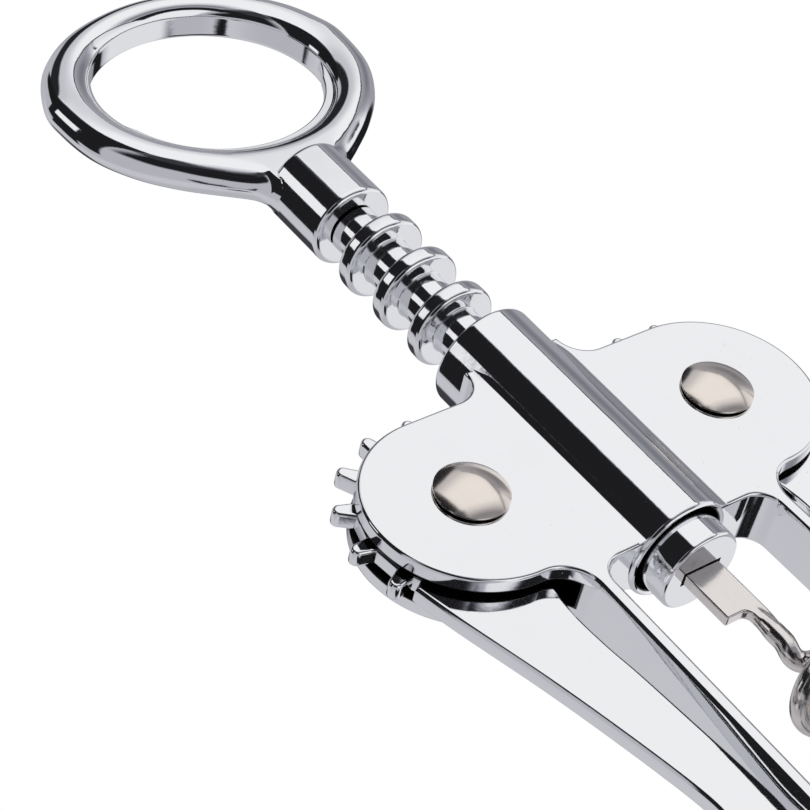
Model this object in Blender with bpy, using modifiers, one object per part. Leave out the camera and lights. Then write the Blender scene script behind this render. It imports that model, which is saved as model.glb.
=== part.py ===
"""Wing corkscrew with two geared levers and a ring handle that also lifts crown caps.

It stands upright on the rim of its bell. The rack runs along Z through the tube of the frame,
and the levers turn about axes along Y. Lengths are in metres. Heights named DROP or RISE are
measured from the level of the lever pivots, and the others from the rim of the bell.
"""
import math

import bmesh
import bpy
from mathutils import Matrix

# Rack and gears: the driving sizes of the mechanism
TOOTH_PITCH = 0.0080
PIVOT_X = 0.0213
RACK_RADIUS = 0.00655
RACK_CORE_RADIUS = 0.00375
RACK_TOOTH_THICKNESS = 0.0028
RACK_TOOTH_ROUNDING = 0.0007
RACK_TEETH = 8
TOP_TOOTH_RISE = 0.0465
RACK_FOOT_DROP = 0.0123

# Running and seating clearances
SEAT_GAP = 0.0003
TOOTH_TIP_GAP = 0.00035
TOOTH_ROOT_GAP = 0.0005
RACK_BORE_GAP = 0.00035
CHAMBER_TIP_GAP = 0.0006
CUT_OVERRUN = 0.002

# Frame casting
PIVOT_HEIGHT = 0.0755
PLATE_HALF_DEPTH = 0.0043
PLATE_EDGE_ROUNDING = 0.0005
LOBE_RADIUS = 0.0146
LOBE_TOP_RISE = 0.0140
CHAMBER_HALF_DEPTH = 0.00215
TUBE_TOP_RISE = 0.02335
TUBE_FOOT_DROP = 0.01755
TUBE_TOP_RADIUS = 0.0080
TUBE_FOOT_RADIUS = 0.00775
TUBE_END_ROUNDING = 0.0006
SHOULDER_FILLET = 0.0042
TUBE_FILLET = 0.0024
WAIST_FILLET = 0.0050
WINDOW_TOP_DROP = 0.0169
WINDOW_CORNER = 0.0033
LEG_OUTER_TOP_X = 0.0163
LEG_OUTER_FOOT_X = 0.0166
LEG_THICKNESS = 0.0020
LEG_EMBED = 0.0010

# Bell
BELL_RADIUS = 0.0172
BELL_HEIGHT = 0.0175
BELL_WALL = 0.0019
BELL_WEB = 0.0024
BELL_GUIDE_RADIUS = 0.0067
BELL_SHOULDER = 0.0028
BELL_RIM_ROUNDING = 0.0004

# Levers
LEVER_HALF_THICKNESS = 0.0013
LEVER_EDGE_ROUNDING = 0.00035
LEVER_BOSS_RADIUS = 0.0045
GEAR_TOOTH_ANGLE = math.radians(24)
GEAR_MESH_ANGLE = math.radians(7.8)
GEAR_TOOTH_ROOT_WIDTH = 0.0021
GEAR_TOOTH_TIP_WIDTH = 0.0019
GEAR_TEETH_BELOW_MESH = 1
GEAR_TEETH_ABOVE_MESH = 8
LEVER_NECK_INSET = 0.0090

# Rivets, in two halves pressed together
RIVET_HEAD_RADIUS = 0.0050
RIVET_HEAD_RIM = 0.0003
RIVET_DOME = 0.0011
RIVET_SLEEVE_RADIUS = 0.0025
RIVET_PIN_RADIUS = 0.0014

# Spindle, hub and worm
SPINDLE_RADIUS = 0.0020
SPINDLE_SOCKET_DEPTH = 0.0042
HUB_RADIUS = 0.0062
HUB_FOOT_DROP = 0.0216
HUB_EDGE_ROUNDING = 0.0006
WORM_SOCKET_DEPTH = 0.0036
SHANK_HALF_WIDTH = 0.0029
SHANK_HALF_THICKNESS = 0.00085
SHANK_LENGTH = 0.0080
SHANK_STEP_LENGTH = 0.0023
SHANK_RUN_OUT_LENGTH = 0.0045
SHANK_WIRE_OFFSET = 0.0015
WORM_OUTER_RADIUS = 0.0053
WORM_WIRE_RADIUS = 0.0014
WORM_PITCH = 0.0088
WORM_COIL_DROP = 0.0351
WORM_COIL_ANGLE = math.radians(184)
WORM_ENTRY_LENGTH = 0.0090
WORM_TIP_HEIGHT = 0.0022
WORM_TAPER_LENGTH = 0.0072
WORM_TIP_SHARE = 0.18
WORM_ROOT_SHARE = 0.58
HUB_PIN_RADIUS = 0.0008

# Collar and ring handle
COLLAR_LENGTH = 0.0122
COLLAR_EDGE_ROUNDING = 0.0009
COLLAR_FORK_DEPTH = 0.0020
HANDLE_TOP_RISE = 0.1112
HANDLE_HALF_WIDTH = 0.0262
HANDLE_HALF_DEPTH = 0.0030
HANDLE_ROUNDING = 0.0027
HANDLE_BAND = 0.0051
HANDLE_OPENING_HALF_WIDTH = 0.0189
HANDLE_OPENING_HEIGHT = 0.0334
HANDLE_LIP_REACH = 0.0012
HANDLE_LIP_HALF_DEPTH = 0.0009
HANDLE_LIP_EMBED = 0.0010
TONGUE_HALF_WIDTH = 0.0045
TONGUE_LENGTH = 0.0066
HANDLE_PIN_RADIUS = 0.0010
PIN_END_INSET = 0.0004

# Roundness of the turned and curved shapes
TURN_SEGMENTS = 40
SMALL_TURN_SEGMENTS = 24
CORNER_STEPS = 2
FILLET_STEPS = 5
LOBE_STEPS = 16
OPENING_STEPS = 48
WORM_STEPS_PER_TURN = 20
MERGE_DISTANCE = 0.00001
EDGE_ANGLE = math.radians(40)
FLAT_ANGLE = math.radians(1)

# Sizes that follow from the ones above
GEAR_TIP_RADIUS = PIVOT_X - RACK_CORE_RADIUS - TOOTH_TIP_GAP
GEAR_ROOT_RADIUS = PIVOT_X - RACK_RADIUS - TOOTH_ROOT_GAP
BORE_RADIUS = RACK_RADIUS + RACK_BORE_GAP
CHAMBER_RADIUS = GEAR_TIP_RADIUS + CHAMBER_TIP_GAP
COLLAR_FOOT_RISE = TOP_TOOTH_RISE + TOOTH_PITCH - RACK_TOOTH_THICKNESS / 2
RACK_HEAD_RISE = COLLAR_FOOT_RISE - SEAT_GAP
HUB_HEAD_DROP = RACK_FOOT_DROP + SEAT_GAP
COLLAR_HEAD_RISE = COLLAR_FOOT_RISE + COLLAR_LENGTH
WORM_CENTRE_RADIUS = WORM_OUTER_RADIUS - WORM_WIRE_RADIUS

# Outlines of the levers' arms and of the handle, as shares of their own width and length
LEVER_LENGTH = 0.0712
LEVER_WIDTH = 0.0108
LEVER_INNER_EDGE_SHARES = ((0.21, 0.19), (0.12, 0.27), (0.145, 0.36), (0.21, 0.44), (0.29, 0.57),
                           (0.355, 0.68), (0.38, 0.75), (0.35, 0.82), (0.31, 0.90))
LEVER_END_SHARES = ((0.20, 0.965), (-0.16, 1.0), (-0.51, 0.965))
LEVER_OUTER_EDGE_SHARES = ((-0.64, 0.90), (-0.53, 0.83), (-0.33, 0.755), (-0.29, 0.70), (-0.44, 0.58),
                           (-0.75, 0.39), (-1.12, 0.20), (-1.28, 0.105))
HANDLE_OUTLINE_SHARES = ((0.0, 1.0), (0.48, 0.945), (0.81, 0.824), (0.98, 0.667), (1.0, 0.556),
                         (0.956, 0.414), (0.823, 0.286), (0.646, 0.185), (0.461, 0.105),
                         (0.303, 0.041))

CHROME = ((0.80, 0.81, 0.83), 0.06, 1.0)
NICKEL = ((0.72, 0.68, 0.64), 0.16, 1.0)
STEEL = ((0.60, 0.59, 0.57), 0.24, 1.0)


def clear_scene():
    for old in list(bpy.data.objects):
        bpy.data.objects.remove(old, do_unlink=True)


def make_collection(name):
    collection = bpy.data.collections.new(name)
    bpy.context.scene.collection.children.link(collection)
    return collection


def finish(name, look):
    colour, roughness, metallic = look
    material = bpy.data.materials.new(name)
    material.use_nodes = True
    shader = material.node_tree.nodes["Principled BSDF"]
    shader.inputs["Base Color"].default_value = (*colour, 1.0)
    shader.inputs["Roughness"].default_value = roughness
    shader.inputs["Metallic"].default_value = metallic
    return material


def link_mesh(name, mesh, collection, look=None):
    piece = bpy.data.objects.new(name, mesh)
    collection.objects.link(piece)
    if look is None:
        piece.hide_render = True
        piece.display_type = "WIRE"
    else:
        mesh.materials.append(finish(name, look))
    mesh.shade_smooth()
    mesh.set_sharp_from_angle(angle=EDGE_ANGLE)
    return piece


def arc(centre_a, centre_b, radius, start, end, steps):
    """Points of an arc from one angle to another, both ends included."""
    angles = [start + (end - start) * step / steps for step in range(steps + 1)]
    return [(centre_a + radius * math.cos(a), centre_b + radius * math.sin(a)) for a in angles]


def turned(name, profile, collection, look=None, segments=TURN_SEGMENTS, hollow=False):
    """A turned piece: (radius, height) points down its outer side, closed through its bore if hollow."""
    mesh = bpy.data.meshes.new(name)
    points = [(radius, 0.0, height) for radius, height in profile]
    edges = [(i, i + 1) for i in range(len(points) - 1)]
    if hollow:
        edges.append((len(points) - 1, 0))
    mesh.from_pydata(points, edges, [])
    piece = link_mesh(name, mesh, collection, look)
    screw = piece.modifiers.new("turning", "SCREW")
    screw.axis = "Z"
    screw.steps = segments
    screw.render_steps = segments
    screw.use_merge_vertices = True
    screw.merge_threshold = MERGE_DISTANCE
    screw.use_smooth_shade = True
    return piece


def smoothed(points, steps):
    """A smooth open line through the points, each stretch cut into a number of steps."""
    line = []
    last = len(points) - 1
    for i in range(last):
        before, start, end, after = (points[max(0, min(last, j))] for j in (i - 1, i, i + 1, i + 2))
        for step in range(steps):
            t = step / steps
            line.append(tuple(
                q + 0.5 * t * (r - p + t * (2 * p - 5 * q + 4 * r - s + t * (3 * (q - r) + s - p)))
                for p, q, r, s in zip(before, start, end, after)))
    return line + [points[last]]


def mesh_of(curve, flat=False):
    """The closed mesh that a curve draws, with its caps welded on and the curve removed."""
    guide = bpy.data.objects.new(curve.name, curve)
    bpy.context.scene.collection.objects.link(guide)
    bpy.context.view_layer.update()
    evaluated = guide.evaluated_get(bpy.context.evaluated_depsgraph_get())
    mesh = bpy.data.meshes.new_from_object(evaluated)
    bpy.data.objects.remove(guide, do_unlink=True)
    bpy.data.curves.remove(curve)
    bm = bmesh.new()
    bm.from_mesh(mesh)
    bmesh.ops.remove_doubles(bm, verts=bm.verts, dist=MERGE_DISTANCE)
    if flat:
        bmesh.ops.dissolve_limit(bm, angle_limit=FLAT_ANGLE, verts=bm.verts, edges=bm.edges)
    bmesh.ops.recalc_face_normals(bm, faces=bm.faces)
    bm.to_mesh(mesh)
    bm.free()
    return mesh


def flat_mesh(name, outline, half_depth):
    """The mesh of a flat solid: an outline in XY, given a depth along Z on both sides."""
    curve = bpy.data.curves.new(name, "CURVE")
    curve.dimensions = "2D"
    curve.fill_mode = "BOTH"
    curve.extrude = half_depth
    spline = curve.splines.new("POLY")
    spline.points.add(len(outline) - 1)
    for point, (a, b) in zip(spline.points, outline):
        point.co = (a, b, 0.0, 1.0)
    spline.use_cyclic_u = True
    return mesh_of(curve, flat=True)


def upright(name, outline, half_depth, collection, look=None, rounding=0.0):
    """A flat solid whose outline stands in the XZ plane, with rounded edges if asked."""
    mesh = flat_mesh(name, outline, half_depth)
    mesh.transform(Matrix.Rotation(math.radians(90), 4, "X"))
    piece = link_mesh(name, mesh, collection, look)
    if rounding:
        bevel = piece.modifiers.new("rounded edges", "BEVEL")
        bevel.width = rounding
        bevel.segments = 2
        bevel.limit_method = "ANGLE"
        bevel.angle_limit = EDGE_ANGLE
    return piece


def block(name, low, high, collection):
    bm = bmesh.new()
    bmesh.ops.create_cube(bm, size=1.0)
    for vert in bm.verts:
        vert.co = [lo + (hi - lo) * (c + 0.5) for c, lo, hi in zip(vert.co, low, high)]
    mesh = bpy.data.meshes.new(name)
    bm.to_mesh(mesh)
    bm.free()
    return link_mesh(name, mesh, collection)


def rod(name, radius, start, end, collection, look=None, segments=SMALL_TURN_SEGMENTS):
    """A cylinder along Y between two depths."""
    bm = bmesh.new()
    bmesh.ops.create_cone(bm, cap_ends=True, segments=segments, radius1=radius, radius2=radius,
                          depth=end - start)
    bmesh.ops.rotate(bm, verts=bm.verts, matrix=Matrix.Rotation(math.radians(90), 3, "X"))
    bmesh.ops.translate(bm, verts=bm.verts, vec=(0.0, (start + end) / 2, 0.0))
    mesh = bpy.data.meshes.new(name)
    bm.to_mesh(mesh)
    bm.free()
    return link_mesh(name, mesh, collection, look)


def join(piece, other):
    modifier = piece.modifiers.new("join " + other.name, "BOOLEAN")
    modifier.operation = "UNION"
    modifier.object = other


def cut(piece, cutter):
    modifier = piece.modifiers.new("cut " + cutter.name, "BOOLEAN")
    modifier.operation = "DIFFERENCE"
    modifier.object = cutter


def mirrored(points):
    """The same outline points reflected in the Z axis and run backwards."""
    return [(-a, b) for a, b in reversed(points)]


def plate_outline():
    """The frame's front view: two lobes round the pivots, narrowing to two legs with a window."""
    shoulder = arc(TUBE_TOP_RADIUS + SHOULDER_FILLET, LOBE_TOP_RISE + SHOULDER_FILLET, SHOULDER_FILLET,
                   math.pi, 1.5 * math.pi, FILLET_STEPS)
    round_lobe = arc(PIVOT_X, 0.0, LOBE_RADIUS, 0.5 * math.pi, -0.5 * math.pi, LOBE_STEPS)
    flattening = LOBE_TOP_RISE / LOBE_RADIUS
    lobe = [(a, b * flattening if b > 0.0 else b) for a, b in round_lobe]
    waist = arc(LEG_OUTER_TOP_X + WAIST_FILLET, -LOBE_RADIUS - WAIST_FILLET, WAIST_FILLET,
                0.5 * math.pi, math.pi, FILLET_STEPS)[1:]
    leg_foot = BELL_HEIGHT - LEG_EMBED - PIVOT_HEIGHT
    window = arc(LEG_OUTER_TOP_X - LEG_THICKNESS - WINDOW_CORNER, -WINDOW_TOP_DROP - WINDOW_CORNER,
                 WINDOW_CORNER, 0.0, 0.5 * math.pi, FILLET_STEPS)
    right = shoulder + lobe + waist
    right += [(LEG_OUTER_FOOT_X, leg_foot), (LEG_OUTER_FOOT_X - LEG_THICKNESS, leg_foot)]
    right += window
    return right + mirrored(right)


def flank_outline():
    """A slice across the tube's foot: the plates' middle with a hollow fillet up each flank."""
    reach = TUBE_TOP_RADIUS + TUBE_FILLET
    depth = PLATE_HALF_DEPTH + TUBE_FILLET
    centre_x = math.sqrt(reach ** 2 - depth ** 2)
    to_tube = math.atan2(depth, -centre_x)
    fillet = arc(centre_x, -depth, TUBE_FILLET, to_tube, 0.5 * math.pi, FILLET_STEPS)
    front = fillet[:-1] + [(centre_x, -PLATE_HALF_DEPTH), (centre_x, 0.0)]
    back = [(a, -b) for a, b in reversed(front[:-1])]
    right = front + back
    return right + mirrored(right)


def bell_profile():
    shoulder = arc(BELL_RADIUS - BELL_SHOULDER, BELL_HEIGHT - BELL_SHOULDER, BELL_SHOULDER,
                   0.5 * math.pi, 0.0, CORNER_STEPS)
    inner = BELL_RADIUS - BELL_WALL
    rim = [(BELL_RADIUS, BELL_RIM_ROUNDING), (BELL_RADIUS - BELL_RIM_ROUNDING, 0.0),
           (inner + BELL_RIM_ROUNDING, 0.0), (inner, BELL_RIM_ROUNDING)]
    web_foot = BELL_HEIGHT - BELL_WEB
    return ([(BELL_GUIDE_RADIUS, BELL_HEIGHT)] + shoulder + rim
            + [(inner, web_foot), (BELL_GUIDE_RADIUS, web_foot)])


def tube_profile():
    top = PIVOT_HEIGHT + TUBE_TOP_RISE
    foot = PIVOT_HEIGHT - TUBE_FOOT_DROP
    head = arc(TUBE_TOP_RADIUS - TUBE_END_ROUNDING, top - TUBE_END_ROUNDING, TUBE_END_ROUNDING,
               0.5 * math.pi, 0.0, CORNER_STEPS)
    return ([(0.0, top)] + head
            + [(TUBE_FOOT_RADIUS, foot + TUBE_END_ROUNDING), (TUBE_FOOT_RADIUS - TUBE_END_ROUNDING, foot),
               (0.0, foot)])


def build_frame(parts, cutters):
    """The die-cast frame: tube, two plates, two legs and the bell, all in one piece."""
    frame = upright("body_frame", plate_outline(), PLATE_HALF_DEPTH, parts, CHROME,
                    rounding=PLATE_EDGE_ROUNDING)
    frame.location.z = PIVOT_HEIGHT
    flank_height = WINDOW_TOP_DROP + LOBE_TOP_RISE + SHOULDER_FILLET - CUT_OVERRUN
    mesh = flat_mesh("frame_flanks", flank_outline(), flank_height / 2)
    flanks = link_mesh("frame_flanks", mesh, cutters)
    flanks.location.z = PIVOT_HEIGHT - WINDOW_TOP_DROP + CUT_OVERRUN / 2 + flank_height / 2
    join(frame, flanks)
    join(frame, turned("frame_tube", tube_profile(), cutters))
    join(frame, turned("frame_bell", bell_profile(), cutters, hollow=True))
    bore_low = PIVOT_HEIGHT - TUBE_FOOT_DROP - CUT_OVERRUN
    bore_high = PIVOT_HEIGHT + TUBE_TOP_RISE + CUT_OVERRUN
    bore = [(0.0, bore_high), (BORE_RADIUS, bore_high), (BORE_RADIUS, bore_low), (0.0, bore_low)]
    cut(frame, turned("frame_bore", bore, cutters))
    for side, word in ((-1, "left"), (1, "right")):
        chamber = rod("chamber_" + word, CHAMBER_RADIUS, -CHAMBER_HALF_DEPTH, CHAMBER_HALF_DEPTH,
                      cutters, segments=TURN_SEGMENTS)
        hole_reach = PLATE_HALF_DEPTH + CUT_OVERRUN
        hole = rod("rivet_hole_" + word, RIVET_SLEEVE_RADIUS + SEAT_GAP, -hole_reach, hole_reach, cutters)
        for cutter in (chamber, hole):
            cutter.location = (side * PIVOT_X, 0.0, PIVOT_HEIGHT)
            cut(frame, cutter)
    return frame


def gear_outline():
    """The left lever's gear about its pivot: a round disc with teeth from the rack over the top."""
    outline = []
    for tooth in range(-GEAR_TEETH_BELOW_MESH, GEAR_TEETH_ABOVE_MESH + 1):
        middle = GEAR_MESH_ANGLE + tooth * GEAR_TOOTH_ANGLE
        root = GEAR_TOOTH_ROOT_WIDTH / 2 / GEAR_ROOT_RADIUS
        shoulder_radius = GEAR_TIP_RADIUS - GEAR_TOOTH_TIP_WIDTH / 2
        outline.append((GEAR_ROOT_RADIUS, middle - root))
        for step in range(CORNER_STEPS * 2 + 1):
            turn = -0.5 * math.pi + math.pi * step / (CORNER_STEPS * 2)
            along = shoulder_radius + GEAR_TOOTH_TIP_WIDTH / 2 * math.cos(turn)
            aside = GEAR_TOOTH_TIP_WIDTH / 2 * math.sin(turn)
            outline.append((math.hypot(along, aside), middle + math.atan2(aside, along)))
        outline.append((GEAR_ROOT_RADIUS, middle + root))
        if tooth < GEAR_TEETH_ABOVE_MESH:
            outline.append((GEAR_ROOT_RADIUS, middle + GEAR_TOOTH_ANGLE / 2))
    last = GEAR_MESH_ANGLE + GEAR_TEETH_ABOVE_MESH * GEAR_TOOTH_ANGLE
    plain = math.tau - (GEAR_TEETH_BELOW_MESH + GEAR_TEETH_ABOVE_MESH) * GEAR_TOOTH_ANGLE
    steps = round(plain / GEAR_TOOTH_ANGLE) * 2
    outline += [(GEAR_ROOT_RADIUS, last + plain * step / steps) for step in range(1, steps)]
    return [(radius * math.cos(angle), radius * math.sin(angle)) for radius, angle in outline]


def lever_outline():
    """The left lever's arm below its pivot, from the neck under the gear to the rounded end."""
    edge = LEVER_INNER_EDGE_SHARES + LEVER_END_SHARES + LEVER_OUTER_EDGE_SHARES
    neck = [(0.0, -LEVER_NECK_INSET), (-LEVER_NECK_INSET, -LEVER_NECK_INSET / 2)]
    return smoothed([(a * LEVER_WIDTH, -b * LEVER_LENGTH) for a, b in edge], CORNER_STEPS) + neck[::-1]


def build_lever(side, word, parts, cutters):
    """A lever: gear and arm in one casting, turning on the rivet. The left one is drawn, side -1."""
    def placed(points):
        return [(-side * a, b) for a, b in points]

    lever = upright("lever_" + word, placed(lever_outline()), LEVER_HALF_THICKNESS, parts, CHROME,
                    rounding=LEVER_EDGE_ROUNDING)
    gear = upright("gear_" + word, placed(gear_outline()), LEVER_HALF_THICKNESS, cutters,
                   rounding=LEVER_EDGE_ROUNDING)
    boss_depth = CHAMBER_HALF_DEPTH - SEAT_GAP
    boss = rod("boss_" + word, LEVER_BOSS_RADIUS, -boss_depth, boss_depth, cutters)
    reach = CHAMBER_HALF_DEPTH + CUT_OVERRUN
    hole = rod("lever_hole_" + word, RIVET_SLEEVE_RADIUS + SEAT_GAP, -reach, reach, cutters)
    for piece in (lever, gear, boss, hole):
        piece.location = (side * PIVOT_X, 0.0, PIVOT_HEIGHT)
    join(lever, gear)
    join(lever, boss)
    cut(lever, hole)
    return lever


def rivet_head(seat, outward):
    """Profile of a domed head whose flat underside is at seat, with the dome towards outward."""
    sphere = (RIVET_HEAD_RADIUS ** 2 + RIVET_DOME ** 2) / (2 * RIVET_DOME)
    spread = math.asin(RIVET_HEAD_RADIUS / sphere)
    steps = CORNER_STEPS * 2
    rim = seat + outward * RIVET_HEAD_RIM
    crown = rim + outward * (RIVET_DOME - sphere)
    dome = [(sphere * math.sin(spread * i / steps), crown + outward * sphere * math.cos(spread * i / steps))
            for i in range(steps + 1)]
    return dome + [(RIVET_HEAD_RADIUS, seat)]


def build_rivet(side, word, parts):
    """One rivet in two halves: a front head with its pin, and a rear head with the sleeve."""
    seat = PLATE_HALF_DEPTH + SEAT_GAP
    pin_end = seat - SEAT_GAP
    front = rivet_head(seat, 1) + [(RIVET_PIN_RADIUS, seat), (RIVET_PIN_RADIUS, -pin_end), (0.0, -pin_end)]
    socket = RIVET_PIN_RADIUS + SEAT_GAP
    floor = pin_end + SEAT_GAP
    rear = rivet_head(seat, 1) + [(RIVET_SLEEVE_RADIUS, seat), (RIVET_SLEEVE_RADIUS, -PLATE_HALF_DEPTH),
                                  (socket, -PLATE_HALF_DEPTH), (socket, floor), (0.0, floor)]
    for name, profile, turn in (("rivet_front_" + word, front, 90), ("rivet_rear_" + word, rear, -90)):
        rivet = turned(name, profile, parts, NICKEL, segments=SMALL_TURN_SEGMENTS)
        rivet.rotation_euler.x = math.radians(turn)
        rivet.location = (side * PIVOT_X, 0.0, PIVOT_HEIGHT)


def rack_profile():
    """The toothed sleeve: ring teeth of one pitch down a core, with a bore for the spindle."""
    top = PIVOT_HEIGHT + RACK_HEAD_RISE
    foot = PIVOT_HEIGHT - RACK_FOOT_DROP
    half = RACK_TOOTH_THICKNESS / 2
    profile = [(RACK_CORE_RADIUS, top)]
    for tooth in range(RACK_TEETH):
        middle = PIVOT_HEIGHT + TOP_TOOTH_RISE - tooth * TOOTH_PITCH
        inner = RACK_RADIUS - RACK_TOOTH_ROUNDING
        flat = half - RACK_TOOTH_ROUNDING
        profile.append((RACK_CORE_RADIUS, middle + half))
        profile += arc(inner, middle + flat, RACK_TOOTH_ROUNDING, 0.5 * math.pi, 0.0, 1)
        profile += arc(inner, middle - flat, RACK_TOOTH_ROUNDING, 0.0, -0.5 * math.pi, 1)
        profile.append((RACK_CORE_RADIUS, middle - half))
    bore = SPINDLE_RADIUS + SEAT_GAP
    return profile + [(RACK_CORE_RADIUS, foot), (bore, foot), (bore, top)]


def build_spindle(parts):
    """The steel spindle through the rack, from a socket in the hub to a socket in the collar."""
    top = PIVOT_HEIGHT + COLLAR_HEAD_RISE - TONGUE_LENGTH - SEAT_GAP * 2
    foot = PIVOT_HEIGHT - HUB_HEAD_DROP - SPINDLE_SOCKET_DEPTH + SEAT_GAP
    profile = [(0.0, top), (SPINDLE_RADIUS, top), (SPINDLE_RADIUS, foot), (0.0, foot)]
    return turned("spindle", profile, parts, STEEL, segments=SMALL_TURN_SEGMENTS)


def build_hub(parts, cutters):
    """The hub under the rack: it holds the spindle's foot, the worm's shank and a cross pin."""
    head = PIVOT_HEIGHT - HUB_HEAD_DROP
    foot = PIVOT_HEIGHT - HUB_FOOT_DROP
    edge = HUB_EDGE_ROUNDING
    socket = SPINDLE_RADIUS + SEAT_GAP
    socket_floor = head - SPINDLE_SOCKET_DEPTH
    profile = ([(0.0, head)]
               + arc(HUB_RADIUS - edge, head - edge, edge, 0.5 * math.pi, 0.0, CORNER_STEPS)
               + arc(HUB_RADIUS - edge, foot + edge, edge, 0.0, -0.5 * math.pi, CORNER_STEPS)
               + [(0.0, foot)])
    hub = turned("worm_hub", profile, parts, CHROME)
    bore_top = head + CUT_OVERRUN
    bore = [(0.0, bore_top), (socket, bore_top), (socket, socket_floor), (0.0, socket_floor)]
    cut(hub, turned("hub_spindle_socket", bore, cutters, segments=SMALL_TURN_SEGMENTS))
    wide = SHANK_HALF_WIDTH + SEAT_GAP
    thick = SHANK_HALF_THICKNESS + SEAT_GAP
    cut(hub, block("hub_shank_socket", (-wide, -thick, foot - CUT_OVERRUN),
                   (wide, thick, foot + WORM_SOCKET_DEPTH), cutters))
    pin_height = foot + WORM_SOCKET_DEPTH / 2
    hole = rod("hub_pin_hole", HUB_PIN_RADIUS + SEAT_GAP, -HUB_RADIUS + SHANK_HALF_THICKNESS,
               HUB_RADIUS + CUT_OVERRUN, cutters)
    hole.location.z = pin_height
    cut(hub, hole)
    pin = rod("hub_pin", HUB_PIN_RADIUS, -HUB_RADIUS + SHANK_HALF_THICKNESS + SEAT_GAP,
              HUB_RADIUS - PIN_END_INSET, parts, STEEL)
    pin.location.z = pin_height
    return hub


def worm_points(root):
    """The wire's centre line and thickness: down from the shank, then out into an open coil."""
    coil_top = PIVOT_HEIGHT - WORM_COIL_DROP
    stem = (root - coil_top) / CORNER_STEPS
    points = [(SHANK_WIRE_OFFSET, 0.0, root - stem * step,
               WORM_ROOT_SHARE + (1 - WORM_ROOT_SHARE) * min(1.0, step * stem / SHANK_RUN_OUT_LENGTH))
              for step in range(CORNER_STEPS)]
    drop = coil_top - WORM_TIP_HEIGHT
    count = round(drop / WORM_PITCH * WORM_STEPS_PER_TURN)
    for step in range(count + 1):
        fall = drop * step / count
        swing = math.sin(0.5 * math.pi * min(1.0, fall / WORM_ENTRY_LENGTH)) ** 2
        angle = WORM_COIL_ANGLE - math.tau * fall / WORM_PITCH
        taper = WORM_TIP_SHARE + (1 - WORM_TIP_SHARE) * min(1.0, (drop - fall) / WORM_TAPER_LENGTH)
        points.append((SHANK_WIRE_OFFSET * (1 - swing) + WORM_CENTRE_RADIUS * swing * math.cos(angle),
                       WORM_CENTRE_RADIUS * swing * math.sin(angle), coil_top - fall, taper))
    return points


def shank_outline(top, foot):
    """The flattened end of the wire: stepped back to it on one side, running out on the other."""
    narrow = WORM_WIRE_RADIUS - SHANK_HALF_THICKNESS
    run_out_foot = foot - SHANK_RUN_OUT_LENGTH
    left = SHANK_WIRE_OFFSET - narrow
    step = arc(left - SHANK_STEP_LENGTH / 2, foot - SHANK_STEP_LENGTH / 2, SHANK_STEP_LENGTH / 2,
               math.pi / 3, 0.0, CORNER_STEPS + 1)
    return ([(-SHANK_HALF_WIDTH, top), (-SHANK_HALF_WIDTH, foot)] + step
            + [(left, run_out_foot), (SHANK_WIRE_OFFSET + narrow, run_out_foot), (SHANK_HALF_WIDTH, foot),
               (SHANK_HALF_WIDTH, top)])


def build_worm(parts, cutters):
    """The worm: a flat shank pinned in the hub, running out into an open coil with a sharp tip."""
    foot = PIVOT_HEIGHT - HUB_FOOT_DROP
    top = foot + WORM_SOCKET_DEPTH - SEAT_GAP
    shank_foot = foot - SHANK_LENGTH
    worm = upright("worm", shank_outline(top, shank_foot), SHANK_HALF_THICKNESS, parts, NICKEL)
    curve = bpy.data.curves.new("worm_coil", "CURVE")
    curve.dimensions = "3D"
    curve.bevel_depth = WORM_WIRE_RADIUS
    curve.bevel_resolution = 2
    curve.use_fill_caps = True
    path = worm_points(shank_foot + WORM_WIRE_RADIUS)
    spline = curve.splines.new("POLY")
    spline.points.add(len(path) - 1)
    for point, (x, y, z, taper) in zip(spline.points, path):
        point.co = (x, y, z, 1.0)
        point.radius = taper
    join(worm, link_mesh("worm_coil", mesh_of(curve), cutters))
    reach = SHANK_HALF_THICKNESS + CUT_OVERRUN
    hole = rod("shank_pin_hole", HUB_PIN_RADIUS + SEAT_GAP, -reach, reach, cutters)
    hole.location.z = foot + WORM_SOCKET_DEPTH / 2
    cut(worm, hole)
    return worm


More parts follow.
